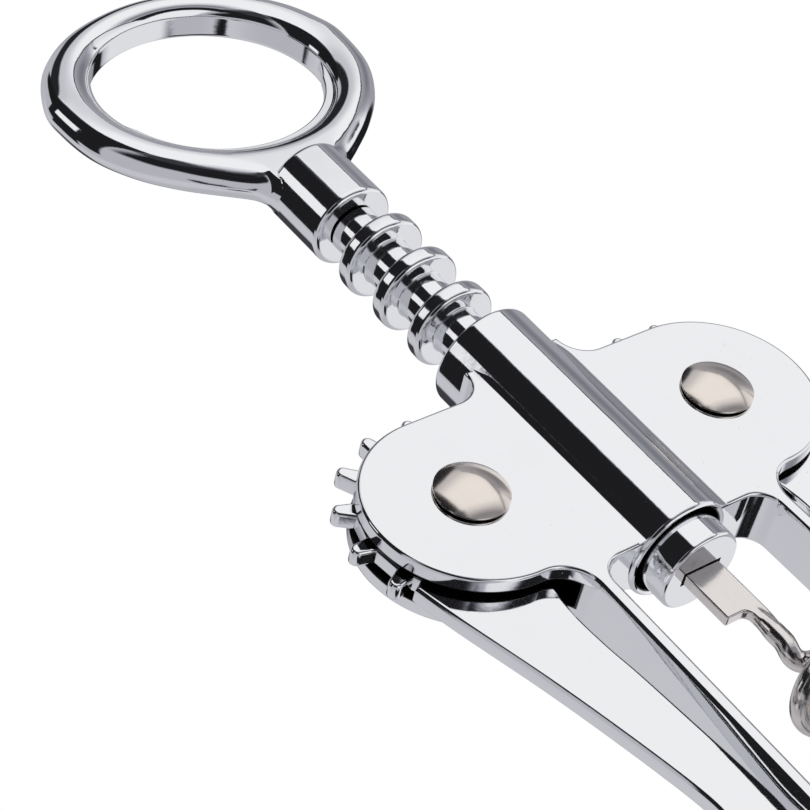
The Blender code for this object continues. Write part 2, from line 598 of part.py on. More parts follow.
def build_collar(parts, cutters):
    """The collar between rack and handle: a socket for the spindle and a forked slot above."""
    foot = PIVOT_HEIGHT + COLLAR_FOOT_RISE
    head = foot + COLLAR_LENGTH
    edge = COLLAR_EDGE_ROUNDING
    profile = ([(0.0, head)]
               + arc(RACK_RADIUS - edge, head - edge, edge, 0.5 * math.pi, 0.0, CORNER_STEPS)
               + arc(RACK_RADIUS - edge, foot + edge, edge, 0.0, -0.5 * math.pi, CORNER_STEPS)
               + [(0.0, foot)])
    collar = turned("handle_collar", profile, parts, CHROME)
    slot_foot = head - TONGUE_LENGTH - SEAT_GAP
    socket = SPINDLE_RADIUS + SEAT_GAP
    bore_low = foot - CUT_OVERRUN
    bore = [(0.0, slot_foot + CUT_OVERRUN), (socket, slot_foot + CUT_OVERRUN), (socket, bore_low),
            (0.0, bore_low)]
    cut(collar, turned("collar_spindle_socket", bore, cutters, segments=SMALL_TURN_SEGMENTS))
    thick = HANDLE_HALF_DEPTH + SEAT_GAP
    wide = TONGUE_HALF_WIDTH + SEAT_GAP
    top = head + CUT_OVERRUN
    across = RACK_RADIUS + CUT_OVERRUN
    cut(collar, block("collar_tongue_slot", (-wide, -thick, slot_foot), (wide, thick, top), cutters))
    fork_foot = head - COLLAR_FORK_DEPTH - SEAT_GAP
    cut(collar, block("collar_fork", (-across, -thick, fork_foot), (across, thick, top), cutters))
    pin_height = (slot_foot + fork_foot) / 2
    front = -RACK_RADIUS + HANDLE_HALF_DEPTH
    hole = rod("collar_pin_hole", HANDLE_PIN_RADIUS + SEAT_GAP, front, across, cutters)
    pin = rod("handle_pin", HANDLE_PIN_RADIUS, front + SEAT_GAP, RACK_RADIUS - PIN_END_INSET, parts, STEEL)
    hole.location.z = pin_height
    pin.location.z = pin_height
    cut(collar, hole)
    return pin_height


def ellipse(half_width, half_height, middle, start, end, steps):
    return [(a * half_width, middle + b * half_height) for a, b in arc(0.0, 0.0, 1.0, start, end, steps)]


def build_handle(pin_height, parts, cutters):
    """The ring handle: a rounded band round the opener's opening, with a lip and a tongue below."""
    head = PIVOT_HEIGHT + COLLAR_HEAD_RISE
    band_foot = head - COLLAR_FORK_DEPTH
    top = PIVOT_HEIGHT + HANDLE_TOP_RISE
    height = top - band_foot
    right = [(a * HANDLE_HALF_WIDTH, band_foot + b * height) for a, b in HANDLE_OUTLINE_SHARES]
    right.append((RACK_RADIUS, band_foot))
    outline = smoothed(mirrored(right[1:]) + right, CORNER_STEPS)
    middle = top - HANDLE_BAND - HANDLE_OPENING_HEIGHT / 2
    opening = ellipse(HANDLE_OPENING_HALF_WIDTH, HANDLE_OPENING_HEIGHT / 2, middle, 0.0, math.tau,
                      OPENING_STEPS)[:-1]
    handle = upright("handle_ring", outline, HANDLE_HALF_DEPTH, parts, CHROME,
                     rounding=HANDLE_ROUNDING)
    hole = upright("handle_opening", opening, HANDLE_HALF_DEPTH + CUT_OVERRUN, cutters)
    cut(handle, hole)
    outer = ellipse(HANDLE_OPENING_HALF_WIDTH + HANDLE_LIP_EMBED,
                    HANDLE_OPENING_HEIGHT / 2 + HANDLE_LIP_EMBED, middle, math.pi, math.tau,
                    OPENING_STEPS // 2)
    inner = ellipse(HANDLE_OPENING_HALF_WIDTH - HANDLE_LIP_REACH,
                    HANDLE_OPENING_HEIGHT / 2 - HANDLE_LIP_REACH, middle, math.tau, math.pi,
                    OPENING_STEPS // 2)
    join(handle, upright("handle_lip", outer + inner, HANDLE_LIP_HALF_DEPTH, cutters))
    tongue_foot = head - TONGUE_LENGTH
    join(handle, block("handle_tongue", (-TONGUE_HALF_WIDTH, -HANDLE_HALF_DEPTH, tongue_foot),
                       (TONGUE_HALF_WIDTH, HANDLE_HALF_DEPTH, band_foot + CUT_OVERRUN), cutters))
    reach = HANDLE_HALF_DEPTH + CUT_OVERRUN
    pin_hole = rod("handle_pin_hole", HANDLE_PIN_RADIUS + SEAT_GAP, -reach, reach, cutters)
    pin_hole.location.z = pin_height
    cut(handle, pin_hole)
    return handle


def main():
    clear_scene()
    parts = make_collection("wing_corkscrew")
    cutters = make_collection("cutters")
    build_frame(parts, cutters)
    for side, word in ((-1, "left"), (1, "right")):
        build_lever(side, word, parts, cutters)
        build_rivet(side, word, parts)
    turned("rack_sleeve", rack_profile(), parts, CHROME, hollow=True)
    build_spindle(parts)
    build_hub(parts, cutters)
    build_worm(parts, cutters)
    pin_height = build_collar(parts, cutters)
    build_handle(pin_height, parts, cutters)


main()
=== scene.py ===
"""Looks of the wing corkscrew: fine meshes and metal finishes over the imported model, and its studio.

Lengths are in metres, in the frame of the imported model: the tool stands on its bell's rim at z = 0,
the rack runs along Z and the levers turn about axes along Y.
"""

import logging
import math
from dataclasses import dataclass, field
from enum import Enum
from typing import Sequence

import bmesh
import bpy
from mathutils import Matrix, Vector


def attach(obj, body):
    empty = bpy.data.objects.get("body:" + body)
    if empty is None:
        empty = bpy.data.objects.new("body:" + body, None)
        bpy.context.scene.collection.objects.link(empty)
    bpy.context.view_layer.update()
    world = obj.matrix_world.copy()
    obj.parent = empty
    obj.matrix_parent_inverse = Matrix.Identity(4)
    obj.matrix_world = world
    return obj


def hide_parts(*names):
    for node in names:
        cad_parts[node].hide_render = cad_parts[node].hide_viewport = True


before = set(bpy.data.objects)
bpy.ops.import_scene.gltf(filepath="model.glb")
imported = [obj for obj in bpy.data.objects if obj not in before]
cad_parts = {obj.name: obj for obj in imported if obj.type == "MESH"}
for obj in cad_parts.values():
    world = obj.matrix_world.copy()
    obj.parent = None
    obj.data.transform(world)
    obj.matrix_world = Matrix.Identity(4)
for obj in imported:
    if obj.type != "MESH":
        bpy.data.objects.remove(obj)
log = logging.getLogger("wing_corkscrew")

Point = tuple[float, float]
Outline = list[Point]
Colour = tuple[float, float, float]

WELD = 1e-6
# What keeps two corners or faces apart that would else meet.
HAIR = 0.0001
# The right lever's axis, as X and Z.
PIVOT: Point = (0.0213, 0.0755)
# Features per metre of the finishes' noise, and how steep noise of one feature per metre is.
PEEL_SCALE, STREAK_SCALE, SMUDGE_SCALE, PIT_SCALE, PITTED_SCALE = 1300.0, 2600.0, 150.0, 700.0, 90.0
NOISE_SLOPE = 1.5
# Where the noise turns into a mark: its value where the mark starts and where it is full.
SMUDGES: Point = (0.45, 0.75)
STREAKS: Point = (0.45, 0.80)
PITTED: Point = (0.50, 0.62)
PIT_SIZE = 0.055
# A hollow's painted shade, by the distance where it starts and the one where it is full.
RACK_BORE: Point = (0.0030, 0.0026)
TUBE_BORE: Point = (0.00708, 0.00700)
SLOT_RADIUS: Point = (0.0182, 0.0180)
SLOT_DEPTH: Point = (0.00235, 0.00225)
BELL_INSIDE: Point = (0.0156, 0.0154)
BELL_CEILING: Point = (0.0154, 0.0152)
BELL_SHARE = 0.5


class Side(Enum):
    """The two wings of the tool, with the sign of their place on X."""

    LEFT = -1
    RIGHT = 1


class Facing(Enum):
    """The two faces of the frame's plates, with the turn that lays an upright rivet on them."""

    FRONT = 90
    REAR = -90


class Recess(Enum):
    """Where a finish paints shade into the hollows and turns rougher."""

    NONE = 0
    FRAME = 1
    RACK = 2


def arc(centre: Point, radius: float, start: float, end: float, steps: int) -> Outline:
    """Points of an arc.

    Args:
        centre: Its centre.
        radius: Its radius.
        start: The first point's angle, in radians.
        end: The last point's angle, in radians.
        steps: How many chords it has.

    Returns:
        The points from start to end, both included.
    """
    angles = [start + (end - start) * step / steps for step in range(steps + 1)]
    return [(centre[0] + radius * math.cos(a), centre[1] + radius * math.sin(a)) for a in angles]


def flowing(points: Sequence[Point], steps: int) -> Outline:
    """A smooth open line through all the points.

    Args:
        points: The points that it passes.
        steps: How many chords each stretch between two points has.

    Returns:
        The line's points.
    """
    line: Outline = []
    last = len(points) - 1
    for i in range(last):
        before, start, end, after = (points[max(0, min(last, j))] for j in (i - 1, i, i + 1, i + 2))
        for step in range(steps):
            t = step / steps
            line.append(tuple(
                q + 0.5 * t * (r - p + t * (2 * p - 5 * q + 4 * r - s + t * (3 * (q - r) + s - p)))
                for p, q, r, s in zip(before, start, end, after)))
    return line + [points[last]]


def eased(points: Sequence[Point], reach: float, steps: int = 4) -> Outline:
    """An open line with its inner corners rounded.

    Args:
        points: The line's corners.
        reach: How far from a corner its rounding starts, at most 0.45 of the side.
        steps: How many chords each rounding has.

    Returns:
        The rounded line's points.
    """
    line: Outline = [points[0]]
    for before, corner, after in zip(points, points[1:], points[2:]):
        middle = Vector(corner)
        ways = [Vector(other) - middle for other in (before, after)]
        start, end = (middle + way * min(0.45, reach / max(way.length, WELD)) for way in ways)
        for step in range(steps + 1):
            t = step / steps
            line.append(tuple(start * (1 - t) ** 2 + middle * 2 * t * (1 - t) + end * t * t))
    return line + [points[-1]]


def shrunk(outline: Sequence[Point], insets: Sequence[float]) -> Outline:
    """A closed outline drawn in towards its inside.

    Args:
        outline: The outline's points.
        insets: How far each point moves in.

    Returns:
        The smaller outline's points.
    """
    area = sum(a[0] * b[1] - b[0] * a[1] for a, b in zip(outline, (*outline[1:], outline[0])))
    turn = 1.0 if area > 0 else -1.0
    line: Outline = []
    for i, inset in enumerate(insets):
        here = Vector(outline[i])
        before = (here - Vector(outline[i - 1])).normalized()
        after = (Vector(outline[(i + 1) % len(outline)]) - here).normalized()
        inward = Vector((-(before.y + after.y), before.x + after.x)).normalized() * turn
        mitre = max(0.6, inward.dot(Vector((-after.y, after.x)) * turn))
        line.append(tuple(here + inward * inset / mitre))
    return line


def mirrored(points: Sequence[Point]) -> Outline:
    """The same points reflected in the Z axis and run backwards."""
    return [(-a, b) for a, b in reversed(points)]


def linked(name: str, data: bpy.types.ID) -> bpy.types.Object:
    """Links a new object with this name and data to the scene and returns it."""
    thing = bpy.data.objects.new(name, data)
    bpy.context.scene.collection.objects.link(thing)
    return thing


class Blank:
    """A piece of metal on the bench: one bmesh and the tools that shape it."""

    def __init__(self) -> None:
        """Starts with no metal."""
        self.bm = bmesh.new()

    @classmethod
    def turned(cls, profile: Sequence[Point], steps: int = 96, hollow: bool = False) -> "Blank":
        """Turns a profile about the Z axis.

        Args:
            profile: Radius and height of its points, from the top down the outer side.
            steps: How many facets a turn has.
            hollow: Whether the profile closes on itself, round a bore.

        Returns:
            The turned blank.
        """
        blank = cls()
        corners = [blank.bm.verts.new((radius, 0.0, height)) for radius, height in profile]
        pairs = list(zip(corners, corners[1:]))
        if hollow:
            pairs.append((corners[-1], corners[0]))
        edges = [blank.bm.edges.new(pair) for pair in pairs]
        bmesh.ops.spin(blank.bm, geom=corners + edges, axis=(0, 0, 1), cent=(0, 0, 0),
                       dvec=(0, 0, 0), angle=math.tau, steps=steps, use_merge=True)
        return blank.welded()

    @classmethod
    def rod(cls, radius: float, low: float, high: float, steps: int = 48) -> "Blank":
        """A round rod about the Z axis.

        Args:
            radius: Its radius.
            low: The height of its foot.
            high: The height of its head.
            steps: How many facets it has.

        Returns:
            The rod.
        """
        return cls.turned([(0.0, high), (radius, high), (radius, low), (0.0, low)], steps)

    @classmethod
    def plate(cls, outline: Sequence[Point], half_depth: float) -> "Blank":
        """Saws a flat blank out of plate that stands in the XZ plane.

        Args:
            outline: Its outline as X and Z.
            half_depth: How far it reaches along Y on both sides.

        Returns:
            The flat blank.
        """
        blank = cls()
        face = blank.bm.faces.new([blank.bm.verts.new((a, -half_depth, b)) for a, b in outline])
        made = bmesh.ops.extrude_face_region(blank.bm, geom=[face])["geom"]
        moved = [part for part in made if isinstance(part, bmesh.types.BMVert)]
        bmesh.ops.translate(blank.bm, verts=moved, vec=(0.0, half_depth * 2, 0.0))
        return blank.welded()

    @classmethod
    def lofted(cls, sections: Sequence[Sequence[Vector]]) -> "Blank":
        """Draws a solid through cross-sections with equal numbers of points.

        Args:
            sections: The sections from the first end to the last.

        Returns:
            The lofted blank.
        """
        blank = cls()
        face = blank.bm.faces.new([blank.bm.verts.new(point) for point in sections[0]])
        for number, (before, after) in enumerate(zip(sections, sections[1:])):
            made = bmesh.ops.extrude_face_region(blank.bm, geom=[face])["geom"]
            if number:
                bmesh.ops.delete(blank.bm, geom=[face], context="FACES_ONLY")
            face = next(part for part in made if isinstance(part, bmesh.types.BMFace))
            places = {tuple(round(c / WELD) for c in old): new for old, new in zip(before, after)}
            for vert in face.verts:
                vert.co = places[tuple(round(c / WELD) for c in vert.co)]
        return blank.welded()

    @classmethod
    def cast_plate(cls, outline: Sequence[Point], half_depth: float, roundings: Sequence[float],
                   steps: int = 5) -> "Blank":
        """A flat casting that stands in the XZ plane, with rounded edges.

        Args:
            outline: Its outline as X and Z.
            half_depth: How far it reaches along Y on both sides.
            roundings: The radius of the edges at each point of the outline.
            steps: How many facets each rounding has.

        Returns:
            The flat casting.
        """
        front = []
        for step in range(steps + 1):
            angle = math.pi / 2 * step / steps
            line = shrunk(outline, [radius * (1 - math.sin(angle)) for radius in roundings])
            front.append([Vector((a, -half_depth + radius * (1 - math.cos(angle)), b))
                          for (a, b), radius in zip(line, roundings)])
        rear = [[Vector((v.x, -v.y, v.z)) for v in section] for section in reversed(front)]
        return cls.lofted(front + rear)

    @classmethod
    def bar(cls, radius: float, reach: float, at: Point = (0.0, 0.0), steps: int = 48) -> "Blank":
        """A round bar along Y.

        Args:
            radius: Its radius.
            reach: How far it goes along Y on both sides.
            at: Where its axis is, as X and Z.
            steps: How many facets it has.

        Returns:
            The bar.
        """
        blank = cls()
        bmesh.ops.create_cone(blank.bm, cap_ends=True, segments=steps, radius1=radius,
                              radius2=radius, depth=reach * 2)
        blank.turn(90, "X")
        blank.move((at[0], 0.0, at[1]))
        return blank

    @classmethod
    def block(cls, low: Sequence[float], high: Sequence[float]) -> "Blank":
        """A square block.

        Args:
            low: Its lowest corner.
            high: Its highest corner.

        Returns:
            The block.
        """
        blank = cls()
        bmesh.ops.create_cube(blank.bm, size=1.0)
        bmesh.ops.scale(blank.bm, verts=blank.bm.verts, vec=[hi - lo for lo, hi in zip(low, high)])
        blank.move([(lo + hi) / 2 for lo, hi in zip(low, high)])
        return blank

    @classmethod
    def drawn(cls, path: Sequence[Vector], widths: Sequence[float], steps: int = 20) -> "Blank":
        """Bends a round rod along a path and draws it out to a taper.

        Args:
            path: Points of its centre line.
            widths: Its radius at each point.
            steps: How many facets it has round.

        Returns:
            The bent rod.
        """
        blank = cls()
        bm = blank.bm
        bmesh.ops.create_cone(bm, cap_ends=True, segments=steps, radius1=1.0, radius2=1.0,
                              depth=2.0)
        sides = [edge for edge in bm.edges if abs(edge.verts[0].co.z - edge.verts[1].co.z) > 1.0]
        bmesh.ops.subdivide_edges(bm, edges=sides, cuts=len(path) - 2, use_grid_fill=True)
        for vert in bm.verts:
            here = round((1.0 - vert.co.z) / 2 * (len(path) - 1))
            along = (path[min(here + 1, len(path) - 1)] - path[max(here - 1, 0)]).normalized()
            aside = along.cross(Vector((0.0, 1.0, 0.0))).normalized()
            over = along.cross(aside)
            vert.co = path[here] + (aside * vert.co.x + over * vert.co.y) * widths[here]
        return blank.welded()

    def welded(self) -> "Blank":
        """Merges its doubles, turns its faces outwards and returns the same blank."""
        bmesh.ops.remove_doubles(self.bm, verts=self.bm.verts, dist=WELD)
        bmesh.ops.recalc_face_normals(self.bm, faces=self.bm.faces)
        return self

    def move(self, way: Sequence[float]) -> "Blank":
        """Shifts it and returns the same blank."""
        bmesh.ops.translate(self.bm, verts=self.bm.verts, vec=way)
        return self

    def turn(self, degrees: float, axis: str) -> "Blank":
        """Turns it about an axis through the origin and returns the same blank."""
        turning = Matrix.Rotation(math.radians(degrees), 3, axis)
        bmesh.ops.rotate(self.bm, verts=self.bm.verts, matrix=turning, cent=(0, 0, 0))
        return self

    def soften(self, width: float, segments: int = 3, angle: float = 40.0) -> "Blank":
        """Rounds its sharp edges.

        Args:
            width: How far the rounding reaches on each side of an edge.
            segments: How many facets the rounding has.
            angle: The least angle, in degrees, at which an edge is sharp.

        Returns:
            The same blank.
        """
        sharp = [edge for edge in self.bm.edges
                 if len(edge.link_faces) == 2 and edge.calc_face_angle() > math.radians(angle)]
        bmesh.ops.bevel(self.bm, geom=sharp, offset=width, offset_type="OFFSET", segments=segments,
                        profile=0.5, affect="EDGES", clamp_overlap=False, material=-1)
        return self

    def mesh(self, name: str) -> bpy.types.Mesh:
        """Writes the bmesh to a new mesh with this name and frees it."""
        mesh = bpy.data.meshes.new(name)
        self.bm.to_mesh(mesh)
        self.bm.free()
        return mesh

    def worked(self, joined: Sequence["Blank"] = (), carved: Sequence["Blank"] = ()) -> "Blank":
        """Fuses other blanks to it and then cuts others out of it.

        Args:
            joined: The blanks that are fused to it, in order.
            carved: The blanks that are cut out of it, in order.

        Returns:
            A new blank with the result.
        """
        base = linked("bench_base", self.mesh("bench_base"))
        tools = [("UNION", blank) for blank in joined] + [("DIFFERENCE", blank) for blank in carved]
        helpers = []
        for number, (operation, blank) in enumerate(tools):
            helper = linked(f"bench_{number}", blank.mesh(f"bench_{number}"))
            helpers.append(helper)
            modifier = base.modifiers.new(helper.name, "BOOLEAN")
            modifier.operation = operation
            modifier.object = helper
        result = Blank.taken_from(base)
        for helper in helpers:
            bpy.data.objects.remove(helper, do_unlink=True)
        return result

    @classmethod
    def taken_from(cls, base: bpy.types.Object) -> "Blank":
        """A new blank with an object's mesh, its modifiers applied, and the object removed."""
        bpy.context.view_layer.update()
        evaluated = base.evaluated_get(bpy.context.evaluated_depsgraph_get())
        blank = cls()
        blank.bm.from_mesh(evaluated.to_mesh())
        evaluated.to_mesh_clear()
        bpy.data.objects.remove(base, do_unlink=True)
        return blank


def deliver(name: str, blank: Blank, body: str, material: bpy.types.Material,
            replaces: Sequence[str], crease: float = 32.0) -> bpy.types.Object:
    """Puts a finished blank into the scene as a piece of the tool.

    Args:
        name: The piece's name.
        blank: Its metal.
        body: The body that it rides on.
        material: Its finish.
        replaces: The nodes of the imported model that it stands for.
        crease: The angle, in degrees, past which an edge is drawn sharp.

    Returns:
        The piece's object.
    """
    mesh = blank.mesh(name)
    mesh.materials.append(material)
    mesh.shade_smooth()
    mesh.set_sharp_from_angle(angle=math.radians(crease))
    piece = linked(name, mesh)
    weighting = piece.modifiers.new("even shading", "WEIGHTED_NORMAL")
    weighting.keep_sharp = True
    weighting.weight = 50
    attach(piece, body)
    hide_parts(*replaces)
    log.info("%s: %d faces on %s", name, len(mesh.polygons), body)
    return piece


class Signal:
    """A number on its way through a node tree, with its maths written as Python."""

    def __init__(self, desk: "NodeDesk", socket: bpy.types.NodeSocket) -> None:
        """Wraps a socket of a desk's tree."""
        self.desk = desk
        self.socket = socket

    def maths(self, operation: str, *others: "Signal | float") -> "Signal":
        """Adds a Math node.

        Args:
            operation: The node's operation.
            others: What its further sockets take.

        Returns:
            The node's result.
        """
        values = {0: self} | dict(enumerate(others, start=1))
        return self.desk.add("ShaderNodeMath", {"operation": operation}, values)

    def __add__(self, other: "Signal | float") -> "Signal":
        """This plus the other."""
        return self.maths("ADD", other)

    __radd__ = __add__

    def __sub__(self, other: "Signal | float") -> "Signal":
        """This less the other."""
        return self.maths("SUBTRACT", other)

    def __rsub__(self, other: float) -> "Signal":
        """The other less this."""
        return self.maths("MULTIPLY_ADD", -1.0, other)

    def __mul__(self, other: "Signal | float") -> "Signal":
        """This times the other."""
        return self.maths("MULTIPLY", other)

    __rmul__ = __mul__

    def __abs__(self) -> "Signal":
        """This without its sign."""
        return self.maths("ABSOLUTE")

    def hypot(self, other: "Signal") -> "Signal":
        """The length of the right-angled pair of this and the other."""
        return (self * self + other * other).maths("SQRT")

    def ramp(self, start: float, end: float) -> "Signal":
        """A soft step from 0 where this is start to 1 where it is end."""
        return self.desk.add("ShaderNodeMapRange", {"interpolation_type": "SMOOTHSTEP"},
                             {"Value": self, "From Min": start, "From Max": end})


class NodeDesk:
    """The bench where one material's nodes are wired up."""

    def __init__(self, name: str) -> None:
        """Starts a material with this name and no nodes."""
        self.material = bpy.data.materials.new(name)
        self.material.use_nodes = True
        self.tree = self.material.node_tree
        self.tree.nodes.clear()

    def surfaced(self, surface: Signal) -> bpy.types.Material:
        """Takes the surface as the material's output and returns the material."""
        output = self.tree.nodes.new("ShaderNodeOutputMaterial")
        self.tree.links.new(surface.socket, output.inputs["Surface"])
        return self.material

    def add(self, kind: str, settings: dict[str, object], values: dict[object, object],
            output: int | str = 0) -> Signal:
        """Adds a node.

        Args:
            kind: The node's type.
            settings: Its own settings, set first.
            values: What its sockets take, by name or number: a Signal or a plain value.
            output: Which output is wanted.

        Returns:
            That output.
        """
        node = self.tree.nodes.new(kind)
        for name, value in settings.items():
            setattr(node, name, value)
        for key, value in values.items():
            if isinstance(value, Signal):
                self.tree.links.new(value.socket, node.inputs[key])
            else:
                node.inputs[key].default_value = value
        return Signal(self, node.outputs[output])

    def place(self) -> Signal:
        """The shaded point's place in the object's own coordinates."""
        return self.add("ShaderNodeTexCoord", {}, {}, "Object")

    def split(self, vector: Signal) -> tuple[Signal, Signal, Signal]:
        """A vector's three numbers."""
        parts = [self.add("ShaderNodeSeparateXYZ", {}, {0: vector}, axis) for axis in "XYZ"]
        return parts[0], parts[1], parts[2]

    def noise(self, scale: float, detail: float,
              stretch: Sequence[float] = (1.0, 1.0, 1.0)) -> Signal:
        """Cloudy noise between 0 and 1.

        Args:
            scale: How many features a metre has.
            detail: How many finer layers it has.
            stretch: How much denser it is along each axis.

        Returns:
            The noise.
        """
        lane = self.add("ShaderNodeMapping", {}, {"Vector": self.place(), "Scale": tuple(stretch)})
        return self.add("ShaderNodeTexNoise", {}, {"Vector": lane, "Scale": scale, "Detail": detail})

    def specks(self, scale: float, size: float) -> Signal:
        """Scattered round specks, 1 inside and 0 outside.

        Args:
            scale: How many cells a metre has.
            size: The specks' radius as a share of a cell.

        Returns:
            The specks.
        """
        where = {"Vector": self.place(), "Scale": scale}
        return self.add("ShaderNodeTexVoronoi", {}, where, "Distance").ramp(size, size * 0.5)

    def blend(self, share: Signal, first: "Colour | Signal", second: Colour) -> Signal:
        """A colour between two.

        Args:
            share: How much of the second it has.
            first: The colour at 0.
            second: The colour at 1.

        Returns:
            The blended colour.
        """
        start = first if isinstance(first, Signal) else (*first, 1.0)
        return self.add("ShaderNodeMix", {"data_type": "RGBA"},
                        {0: share, 6: start, 7: (*second, 1.0)}, 2)


@dataclass(frozen=True)
class Plating:
    """A polished plating: marks of casting, polish and wear, and painted shade in hollows."""

    name: str
    tint: Colour
    shade: Colour
    roughness: float
    ripple: float = 0.010
    ripple_size: float = 0.006
    peel: float = 0.006
    streak: float = 0.004
    streak_tone: float = 0.03
    grain: tuple[float, float, float] = (1.0, 1.0, 0.05)
    streak_rough: float = 0.03
    pit_depth: float = 0.000008
    pit_tone: float = 0.6
    pit_rough: float = 0.2
    smudge_tone: float = 0.04
    smudge_rough: float = 0.035
    # Painted shade: the near-black colour laid over the hollows, where shade falls.
    hollow_shade_tint: Colour = (0.060, 0.058, 0.058)
    hollow_rough: float = 0.30
    recess: Recess = Recess.NONE

    def material(self) -> bpy.types.Material:
        """Builds the material."""
        desk = NodeDesk(self.name)
        waves = desk.noise(1.0 / self.ripple_size, 1.0)
        peel = desk.noise(PEEL_SCALE, 2.0)
        streaks = desk.noise(STREAK_SCALE, 2.0, self.grain)
        smudges = desk.noise(SMUDGE_SCALE, 3.0).ramp(*SMUDGES)
        pits = desk.specks(PIT_SCALE, PIT_SIZE) * desk.noise(PITTED_SCALE, 1.0).ramp(*PITTED)
        height = (waves * (self.ripple * self.ripple_size / NOISE_SLOPE)
                  + peel * (self.peel / (NOISE_SLOPE * PEEL_SCALE))
                  + streaks * (self.streak / (NOISE_SLOPE * STREAK_SCALE)) - pits * self.pit_depth)
        bump = desk.add("ShaderNodeBump", {}, {"Strength": 1.0, "Distance": 1.0, "Height": height})
        hollow_shade = self.hollow(desk)
        tone = (streaks.ramp(*STREAKS) * self.streak_tone + smudges * self.smudge_tone
                + pits * self.pit_tone)
        colour = desk.blend(tone.maths("MINIMUM", 1.0), self.tint, self.shade)
        rough = (smudges * self.smudge_rough + streaks * self.streak_rough
                 + pits * self.pit_rough + self.roughness)
        # Painted shade: the hollows' colour is blended towards near black; their roughness rises too.
        if hollow_shade is not None:
            colour = desk.blend(hollow_shade, colour, self.hollow_shade_tint)
            rough = rough + hollow_shade * self.hollow_rough
        shader = desk.add("ShaderNodeBsdfPrincipled", {}, {
            "Base Color": colour, "Metallic": 1.0, "Roughness": rough, "Normal": bump})
        return desk.surfaced(shader)

    def hollow(self, desk: NodeDesk) -> Signal | None:
        """How far a point lies in a hollow that gets painted shade and a rougher finish.

        Args:
            desk: The desk of the material's tree.

        Returns:
            1 in the hollow and 0 outside, or None where the finish has none.
        """
        if self.recess is Recess.NONE:
            return None
        x, y, z = desk.split(desk.place())
        around = x.hypot(y)
        if self.recess is Recess.RACK:
            return around.ramp(*RACK_BORE)
        out, up = abs(x) - PIVOT[0], z - PIVOT[1]
        slot = out.hypot(up).ramp(*SLOT_RADIUS) * abs(y).ramp(*SLOT_DEPTH)
        bell = around.ramp(*BELL_INSIDE) * z.ramp(*BELL_CEILING) * BELL_SHARE
        return (slot + around.ramp(*TUBE_BORE) + bell).maths("MINIMUM", 1.0)


CHROME = ((0.90, 0.905, 0.92), (0.62, 0.625, 0.64))
NICKEL = ((0.86, 0.79, 0.72), (0.50, 0.44, 0.39))
STEEL = ((0.66, 0.65, 0.63), (0.38, 0.37, 0.36))

# Painted shade: the frame's and the rack's platings darken their hollows (bores, slots, bell).
FRAME_PLATE = Plating("frame_chrome", *CHROME, 0.035, ripple=0.006, recess=Recess.FRAME)
LEVER_PLATE = Plating("lever_chrome", *CHROME, 0.035, ripple=0.006)
RACK_PLATE = Plating("rack_chrome", *CHROME, 0.045, ripple=0.030, ripple_size=0.0022, peel=0.012,
                     grain=(0.08, 0.08, 1.0), recess=Recess.RACK)
TURNED_PLATE = Plating("turned_chrome", *CHROME, 0.035, ripple=0.008, grain=(0.08, 0.08, 1.0))
HANDLE_PLATE = Plating("handle_chrome", *CHROME, 0.030, ripple=0.014, ripple_size=0.008)
RIVET_PLATE = Plating("rivet_nickel", *NICKEL, 0.13, ripple=0.012, peel=0.004, grain=(1.0, 0.2, 0.2))
WORM_PLATE = Plating("worm_nickel", (0.80, 0.76, 0.73), (0.42, 0.38, 0.35), 0.15, ripple=0.030,
                     ripple_size=0.0030, peel=0.020, grain=(1.0, 1.0, 0.03))
PIN_STEEL = Plating("pin_steel", *STEEL, 0.22, streak=0.02)


